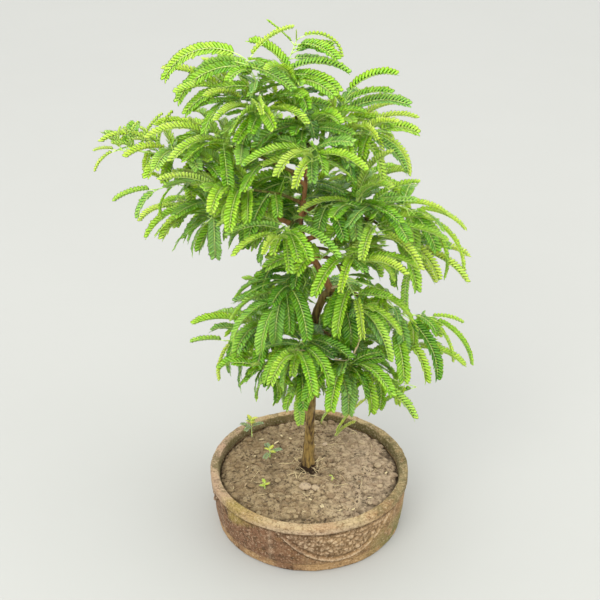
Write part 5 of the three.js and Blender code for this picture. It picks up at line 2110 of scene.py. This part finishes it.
class LeafletShape:
    """One leaflet, modelled once: oblong, blunt, thin, a little folded along its midrib."""

    outline = (0.86, 1.0, 0.94, 0.36)
    places = (-0.04, 0.24, 0.8, 1.0)
    fold = 0.06
    thickness = 0.03

    def __init__(self) -> None:
        """Models the leaflet and keeps its points, faces and numbers."""
        Bench.clear()
        rows = len(self.places) - 1
        bpy.ops.mesh.primitive_grid_add(x_subdivisions=rows, y_subdivisions=2, size=1)
        leaflet = Bench.newest("leaflet")
        Bench.edit()
        for row, (place, wide) in enumerate(zip(self.places, self.outline)):
            start = row / rows - 0.5
            Bench.select_points(leaflet, lambda spot, start=start: abs(spot.x - start) < 0.01)
            bpy.ops.transform.resize(value=(1, wide, 1), center_override=(0, 0, 0))
            bpy.ops.transform.translate(value=(2 + place - start, 0, 0))
        Bench.select_points(leaflet, lambda spot: abs(spot.y) < 0.01)
        bpy.ops.transform.translate(value=(-2, 0, -self.fold))
        Bench.select_points(leaflet, lambda spot: spot.x > 1.5)
        bpy.ops.transform.translate(value=(-2, 0, 0))
        bpy.ops.mesh.select_all(action="SELECT")
        bpy.ops.mesh.duplicate()
        bpy.ops.mesh.flip_normals()
        bpy.ops.transform.translate(value=(0, 0, -4))
        Bench.select_points(
            leaflet, lambda spot: spot.z < -3 and abs(spot.y) < 0.01 and 0.01 < spot.x < 0.99)
        bpy.ops.transform.translate(value=(0, 0, -self.thickness))
        Bench.select_points(leaflet, lambda spot: spot.z < -3)
        bpy.ops.transform.translate(value=(0, 0, 4))
        bpy.ops.mesh.select_all(action="SELECT")
        bpy.ops.mesh.remove_doubles(threshold=0.001)
        Bench.close()
        self.points = Bench.places(leaflet) * METRE
        self.faces = Bench.faces(leaflet)
        low = self.points[:, 2] < -self.fold - self.thickness / 2
        self.under = low.astype(float)
        self.across = np.where(np.abs(self.points[:, 1]) < 0.01, 0.0, 1.0)
        Bench.scrap(leaflet)


@dataclass
class Sprays:
    """The green twigs with their pinnate leaves."""

    sprays: Sequence[Spray]
    loose: Dict[str, List[Frond]]
    shoots: Dict[str, Tuple[Limb, List[Frond]]]
    shape: LeafletShape
    pitch: float = 4.4
    fewest_pairs: int = 9
    most_pairs: int = 23
    wide: float = 1.16
    long: float = 1.16
    slim_young: float = 0.36
    slim_leaflet: float = 0.72
    lean: float = 0.8
    low: float = 300.0
    high: float = 560.0
    darker_below: float = 0.16
    # Lower fronds are made darker, and fronds near the trunk's axis get painted shade of the crown's
    # inside
    painted_shade_inside: float = 0.42
    inside: float = 42.0
    rib_radius: float = 0.72
    rib_foot: float = 0.5
    twig_foot: float = 1.3
    twig_tip: float = 0.65
    stem_steps: int = 19

    def leaflets(self, green: Surface, frond: Frond, draw: np.random.RandomState) -> None:
        """Adds a frond's leaflets in pairs.

        Args:
            green: The piece's surface.
            frond: The frond.
            draw: The piece's stream of numbers.
        """
        blade = frond.length * (1 - BARE_SHARE)
        pairs = int(np.clip(round(blade / self.pitch), self.fewest_pairs, self.most_pairs))
        share = BARE_SHARE + (1 - BARE_SHARE) * (np.arange(pairs) + 0.5) / pairs
        share = np.repeat(share, 2)
        side = np.tile([1.0, -1.0], pairs)[:, None]
        along, left, over = frond.frame(share)
        out = left * side * math.cos(frond.fold) + over * math.sin(frond.fold)
        lean = (self.lean + 0.5 * share ** 6 + draw.uniform(-0.07, 0.07, len(share)))[:, None]
        lift = draw.uniform(-0.06, 0.06, len(share))[:, None]
        away = unit(out + along * lean)
        face = unit(np.cross(along, away) * side)
        away = unit(away + face * lift)
        face = unit(np.cross(np.cross(away, face), away))
        wide = np.cross(face, away)
        tilt = draw.uniform(-0.02, 0.12, len(share))[:, None]
        cos, sin = np.cos(tilt), np.sin(tilt)
        wide, face = wide * cos + face * sin, face * cos - wide * sin
        reach = frond.breadth(share) * self.long * draw.uniform(0.93, 1.05, len(share))
        reach *= 1 - self.slim_young * (1 - frond.age) * frond.half / FROND_HALF_BREADTH
        reach *= 1 - 0.2 * np.clip((share - 0.8) / 0.2, 0, 1) ** 2
        open_up = self.slim_leaflet + (1 - self.slim_leaflet) * min(1.0, frond.age / 0.35)
        breadth = blade / pairs * self.wide * open_up
        bend = draw.uniform(-0.12, 0.04, len(share)) - 0.05 * frond.age
        x, y, z = self.shape.points.T
        base = frond.centre(share) + out * 0.3
        points = (
            base[:, None, :]
            + away[:, None, :] * (reach[:, None] * x)[..., None]
            + wide[:, None, :] * (breadth * y)[None, :, None]
            + face[:, None, :] * (breadth * z + (bend * reach)[:, None] * x * x)[..., None]
        )
        size = len(self.shape.points)
        starts = (np.arange(len(share)) * size)[:, None, None]
        faces = [(some + starts).reshape(-1, some.shape[1]) for some in self.shape.faces]
        tone = np.repeat(draw.uniform(0, 1, len(share)), size)
        # Lower fronds are made darker, and fronds near the trunk's axis get painted shade of the
        # crown's inside; both darken through the age number
        depth = np.clip((self.high - frond.base[2]) / (self.high - self.low), 0, 1)
        youth_and_painted_shade = np.repeat(0.14 * (share - 0.4), size) + draw.uniform(-0.2, 0.2)
        inner = math.exp(-((math.hypot(frond.base[0], frond.base[1]) / self.inside) ** 2))
        youth_and_painted_shade -= self.darker_below * depth + self.painted_shade_inside * inner
        # Some older fronds get the bluish tint, partly a painted sheen
        cool = max(0.0, draw.uniform(-1.2, 1)) * min(1.0, frond.age * 1.6)
        green.add(
            points.reshape(-1, 3), faces, age=np.clip(frond.age - youth_and_painted_shade, 0, 1), tone=tone, cool=cool,
            along=np.tile(x, len(share)), across=np.tile(self.shape.across, len(share)),
            under=np.tile(self.shape.under, len(share)))

    def add(self, green: Surface, fronds: Sequence[Frond], draw: np.random.RandomState) -> None:
        """Adds fronds, each with its rib and its leaflets.

        Args:
            green: The piece's surface.
            fronds: The fronds.
            draw: The piece's stream of numbers.
        """
        for frond in fronds:
            self.rib(green, frond)
            self.leaflets(green, frond, draw)

    def rib(self, green: Surface, frond: Frond) -> None:
        """Adds a frond's rib with its swollen foot."""
        shares = np.linspace(-0.006, 0.99, 12)
        reach = shares * frond.length
        radii = self.rib_radius * (1 - 0.55 * shares) + self.rib_foot * np.exp(-(reach / 2.6) ** 2)
        radii *= 0.6 + 0.4 * frond.half / FROND_HALF_BREADTH
        green.add(*sweep(frond.centre(shares), radii, 6), age=frond.age * 0.6, tone=0.5)

    def twig(self, green: Surface, spray: Spray) -> None:
        """Adds a spray's twig, from just inside the wood, thicker at its fronds."""
        twig, shares = spray.twig, np.linspace(0, 1, 22)
        foot = twig.start - twig.grain * 2.2
        route = np.concatenate([foot[None, :], twig.at(shares)])
        places = np.append(-0.05, shares)
        radii = blend_of(self.twig_foot, self.twig_tip, np.clip(places, 0, 1))
        for frond in spray.fronds:
            off = np.linalg.norm(route - frond.base, axis=1)
            radii = radii + 0.3 * np.exp(-(off / 1.8) ** 2)
        green.add(*sweep(route, radii, 8), age=0.55, tone=0.5)

    def tip(self, green: Surface, spray: Spray, draw: np.random.RandomState) -> None:
        """Adds the small folded leaves that open at a young twig's tip."""
        twig = spray.twig
        heading = math.atan2(twig.aim[1], twig.aim[0])
        for turn in (0.7, -0.5):
            length = draw.uniform(20, 34)
            young = Frond(
                twig.at(1.0), heading + turn + draw.uniform(-0.3, 0.3), draw.uniform(0.7, 1.3),
                draw.uniform(0.6, 1.2), length, length * 0.2, math.radians(68), 0.0, 0.0)
            self.add(green, [young], draw)

    def build(self, spray: Spray, seed: int) -> bpy.types.Object:
        """Builds one spray.

        Args:
            spray: The spray.
            seed: Starts its stream of numbers.

        Returns:
            The piece.
        """
        draw = np.random.RandomState(seed)
        green = Surface(*LEAF_NUMBERS)
        self.twig(green, spray)
        self.add(green, spray.fronds, draw)
        if spray.plan.at_end and spray.plan.limb.age < 0.55:
            self.tip(green, spray, draw)
        return green.make(spray.plan.name + "_fine")

    def build_leafy(
        self, name: str, fronds: Sequence[Frond], seed: int, stem: Optional[Limb] = None
    ) -> bpy.types.Object:
        """Builds leaves that stand straight on a limb, or a thin shoot with its leaves.

        Args:
            name: The piece's name.
            fronds: The leaves.
            seed: Starts the stream of numbers.
            stem: The shoot's route, if it is one.

        Returns:
            The piece.
        """
        draw = np.random.RandomState(seed)
        green = Surface(*LEAF_NUMBERS)
        if stem:
            radii = blend_of(stem.thick, stem.thin, np.linspace(0, 1, self.stem_steps + 1))
            green.add(*sweep(stem.path(self.stem_steps), radii, 8), age=0.5, tone=0.5)
        self.add(green, fronds, draw)
        return green.make(name)

    def dress(self) -> None:
        """Builds all sprays and gives each its leaf finish."""
        leaf = LeafFinish().material("tamarind_leaf")
        slots = {part["node"]: part["material_slot"] for part in frame["record"]["subparts"]}
        for order, spray in enumerate(self.sprays):
            name = spray.plan.name
            dress(self.build(spray, SPRAY_SEED + order), leaf, Slot(slots[name]), name)
        for order, (name, fronds) in enumerate(self.loose.items()):
            if fronds:
                piece = self.build_leafy(f"leaves_on_{name}", fronds, LOOSE_SEED + order)
                dress(piece, leaf, Slot.LEAF_DARK)
        for order, (limb, fronds) in enumerate(self.shoots.values()):
            piece = self.build_leafy(limb.name, fronds, SHOOT_SEED + order, limb)
            dress(piece, leaf, Slot.LEAF_GREEN)


@dataclass
class Weed:
    """A small weed in the soil: where it stands, its height and its leaves."""

    name: str
    x: float
    y: float
    height: float
    fronds: int
    leaves: int
    leaf_length: float


@dataclass
class Weeds:
    """The weeds, each a thin stem with small pinnate or plain leaves."""

    soil: Soil
    shape: LeafletShape
    stem_radius: float = 0.7
    stem_depth: float = 8.0
    frond_length: float = 19.0
    plants: Sequence[Weed] = (
        Weed("weed_back", -90, 84, 34, 4, 6, 11),
        Weed("weed_left", -60, 24, 16, 3, 3, 10),
        Weed("weed_front", -66, -48, 9, 0, 4, 9),
        Weed("weed_right", 34, -30, 7, 0, 2, 5),
    )
    soil_fronds: Sequence[Tuple[Point, Leaf]] = (
        ((40, 88, 75), Leaf(0, (88, 88, 146), 28, -20, 30, 0.2, 11)),
        ((42, 86, 75), Leaf(0, (72, 84, 106), 40, -20, 50, 0.1, 7)),
        ((20, 122, 76), Leaf(0, (36, 118, 105), 40, 0, 40, 0.3, 6)),
    )

    def leaf_shape(self) -> Tuple[Array, List[Array]]:
        """A pointed oval leaf of unit length, modelled once for all plain leaves.

        Returns:
            Its points and faces.
        """
        Bench.clear()
        bpy.ops.mesh.primitive_uv_sphere_add(segments=16, ring_count=10, radius=0.5 * METRE)
        leaf = Bench.newest("plain_leaf")
        Bench.edit()
        bpy.ops.transform.rotate(
            value=math.pi / 2, orient_axis="Y", center_override=(0, 0, 0))
        bpy.ops.transform.resize(value=(1, 0.64, 0.1), center_override=(0, 0, 0))
        bpy.ops.transform.translate(value=(0.5 * METRE, 0, 0))
        Bench.close()
        points, faces = Bench.places(leaf), Bench.faces(leaf)
        Bench.scrap(leaf)
        points[:, 1] *= 1 - 0.45 * points[:, 0] ** 2
        points[:, 2] += 0.18 * np.abs(points[:, 1]) - 0.16 * points[:, 0] ** 2
        return points, faces

    def build(self, weed: Weed, order: int) -> bpy.types.Object:
        """Builds one weed.

        Args:
            weed: The weed.
            order: Its place in the row, which turns it.

        Returns:
            The piece.
        """
        green = Surface(*LEAF_NUMBERS)
        draw = np.random.RandomState(WEED_SEED + order)
        ground = self.soil.ground(weed.x, weed.y)
        foot = vec(weed.x, weed.y, ground - self.stem_depth)
        top = vec(weed.x, weed.y, ground + weed.height)
        shares = np.linspace(0, 1, 9)
        route = foot + (top - foot) * shares[:, None]
        green.add(*sweep(route, self.stem_radius * (1.1 - 0.5 * shares), 8), age=0.5, tone=0.5)
        total = weed.fronds + weed.leaves
        points, faces = self.leaf_shape()
        maker = Sprays(
            [], {}, {}, self.shape, pitch=2.9, most_pairs=9, fewest_pairs=6, rib_radius=0.3,
            rib_foot=0.2)
        for index in range(total):
            azimuth = GOLDEN_ANGLE * index + order
            base = foot + (top - foot) * (1 - 0.45 * index / total)
            if index >= weed.leaves:
                frond = Frond(base, azimuth, 0.5, 0.7, self.frond_length, 4.5, 0.3, 0, 0.9)
                maker.add(green, [frond], draw)
            else:
                placed = points * weed.leaf_length @ turned_by(azimuth, draw.uniform(0.1, 0.9)).T
                green.add(
                    placed + base, faces, age=draw.uniform(0, 0.25), tone=0.4,
                    along=points[:, 0], across=np.minimum(np.abs(points[:, 1]) * 3, 1))
        return green.make(weed.name + "_fine")

    def build_fronds(self) -> bpy.types.Object:
        """Builds the leaves that stand straight in the soil behind the trunk.

        Returns:
            They, as one piece.
        """
        green = Surface(*LEAF_NUMBERS)
        draw = np.random.RandomState(SOIL_FROND_SEED)
        maker = Sprays([], {}, {}, self.shape, pitch=3.8)
        for base, leaf in self.soil_fronds:
            maker.add(green, [Frond.between(vec(*base), leaf)], draw)
        return green.make("soil_fronds")

    def dress(self) -> None:
        """Builds the weeds and gives them their finish."""
        leaf = LeafFinish(
            young=(0.4, 0.4, 0.03), fresh=(0.26, 0.36, 0.04), grown=(0.18, 0.3, 0.1),
            old=(0.15, 0.25, 0.13)).material("weed_leaf")
        for order, weed in enumerate(self.plants):
            dress(self.build(weed, order), leaf, Slot.WEED, weed.name)
        dress(self.build_fronds(), leaf, Slot.WEED)


@dataclass
class Studio:
    """A pale floor, soft light and the camera at the photograph's angle."""

    aim: Point = (-13.95, 0.0, 372.9)
    distance: float = 1684.6
    pitch: float = 29.082
    half_view: float = 14.0
    floor_size: float = 14000.0
    key_power: float = 60.0
    fill_power: float = 16.0
    sky_strength: float = 1.75
    key_place: Point = (-0.9, -2.2, 2.8)
    key_size: float = 2.0
    fill_place: Point = (2.4, -0.6, 2.0)
    fill_size: float = 2.6
    sensor: float = 36.0

    def eye(self) -> Array:
        """Where the camera stands."""
        pitch = math.radians(self.pitch)
        return vec(*self.aim) + vec(0, -math.cos(pitch), math.sin(pitch)) * self.distance

    def camera(self) -> None:
        """Sets up the camera."""
        data = bpy.data.cameras.new("camera")
        data.sensor_width = self.sensor
        data.lens = self.sensor / 2 / math.tan(math.radians(self.half_view))
        camera = bpy.data.objects.new("camera", data)
        bpy.context.scene.collection.objects.link(camera)
        camera.location = self.eye() * METRE
        camera.rotation_euler = (math.pi / 2 - math.radians(self.pitch), 0, 0)
        data.clip_start, data.clip_end = 0.05, 50
        bpy.context.scene.camera = camera

    def lamp(self, name: str, place: Point, size: float, power: float) -> None:
        """Adds a soft lamp that is aimed at the tree.

        Args:
            name: Its name.
            place: Where it hangs, in metres.
            size: Its width, in metres.
            power: Its power, in watts.
        """
        data = bpy.data.lights.new(name, "AREA")
        data.size = size
        data.energy = power
        lamp = bpy.data.objects.new(name, data)
        bpy.context.scene.collection.objects.link(lamp)
        lamp.location = place
        aim = Vector((0, 0, 0.3)) - Vector(place)
        lamp.rotation_euler = aim.to_track_quat("-Z", "Y").to_euler()

    def build(self) -> None:
        """Builds the floor and the light."""
        Bench.clear()
        bpy.ops.mesh.primitive_plane_add(size=self.floor_size * METRE)
        floor = Bench.newest("floor")
        floor.data.materials.append(FloorFinish().material("floor"))
        self.lamp("key", self.key_place, self.key_size, self.key_power)
        self.lamp("fill", self.fill_place, self.fill_size, self.fill_power)
        world = bpy.data.worlds.new("sky")
        world.use_nodes = True
        sky = world.node_tree.nodes["Background"]
        sky.inputs[0].default_value = (0.97, 0.98, 1, 1)
        sky.inputs[1].default_value = self.sky_strength
        bpy.context.scene.world = world
        bpy.context.scene.view_settings.view_transform = "Standard"


def main() -> None:
    """Builds the scene."""
    noise.seed_set(NOISE_SEED)
    studio = Studio()
    studio.camera()
    studio.build()
    pot = Pot()
    pot.dress()
    soil = Soil(pot)
    shape = LeafletShape()
    soil.dress(shape)
    growth = Growth(LIMBS)
    sprays = growth.grow()
    log.info("%d sprays, %d fronds", len(sprays), sum(len(spray.fronds) for spray in sprays))
    Wood(LIMBS, sprays).dress()
    BareTwigs(growth.limbs).dress()
    shoots = lay_shoots(growth.limbs)
    placed = [frond for _, fronds in shoots.values() for frond in fronds]
    undergrowth = Undergrowth(sprays, LIMBS, placed, studio.eye())
    for name, fronds in undergrowth.on_limbs([limb for limb, _ in shoots.values()]).items():
        shoots[name][1].extend(fronds)
    undergrowth.on_twigs()
    loose = undergrowth.on_limbs(LIMBS)
    log.info("%d fronds with those on twigs", sum(len(spray.fronds) for spray in sprays))
    log.info("%d fronds on limbs", sum(len(fronds) for fronds in loose.values()))
    log.info("%d fronds on shoots", sum(len(fronds) for _, fronds in shoots.values()))
    Sprays(sprays, loose, shoots, shape).dress()
    Weeds(soil, shape).dress()


if __name__ == "__main__":
    main()
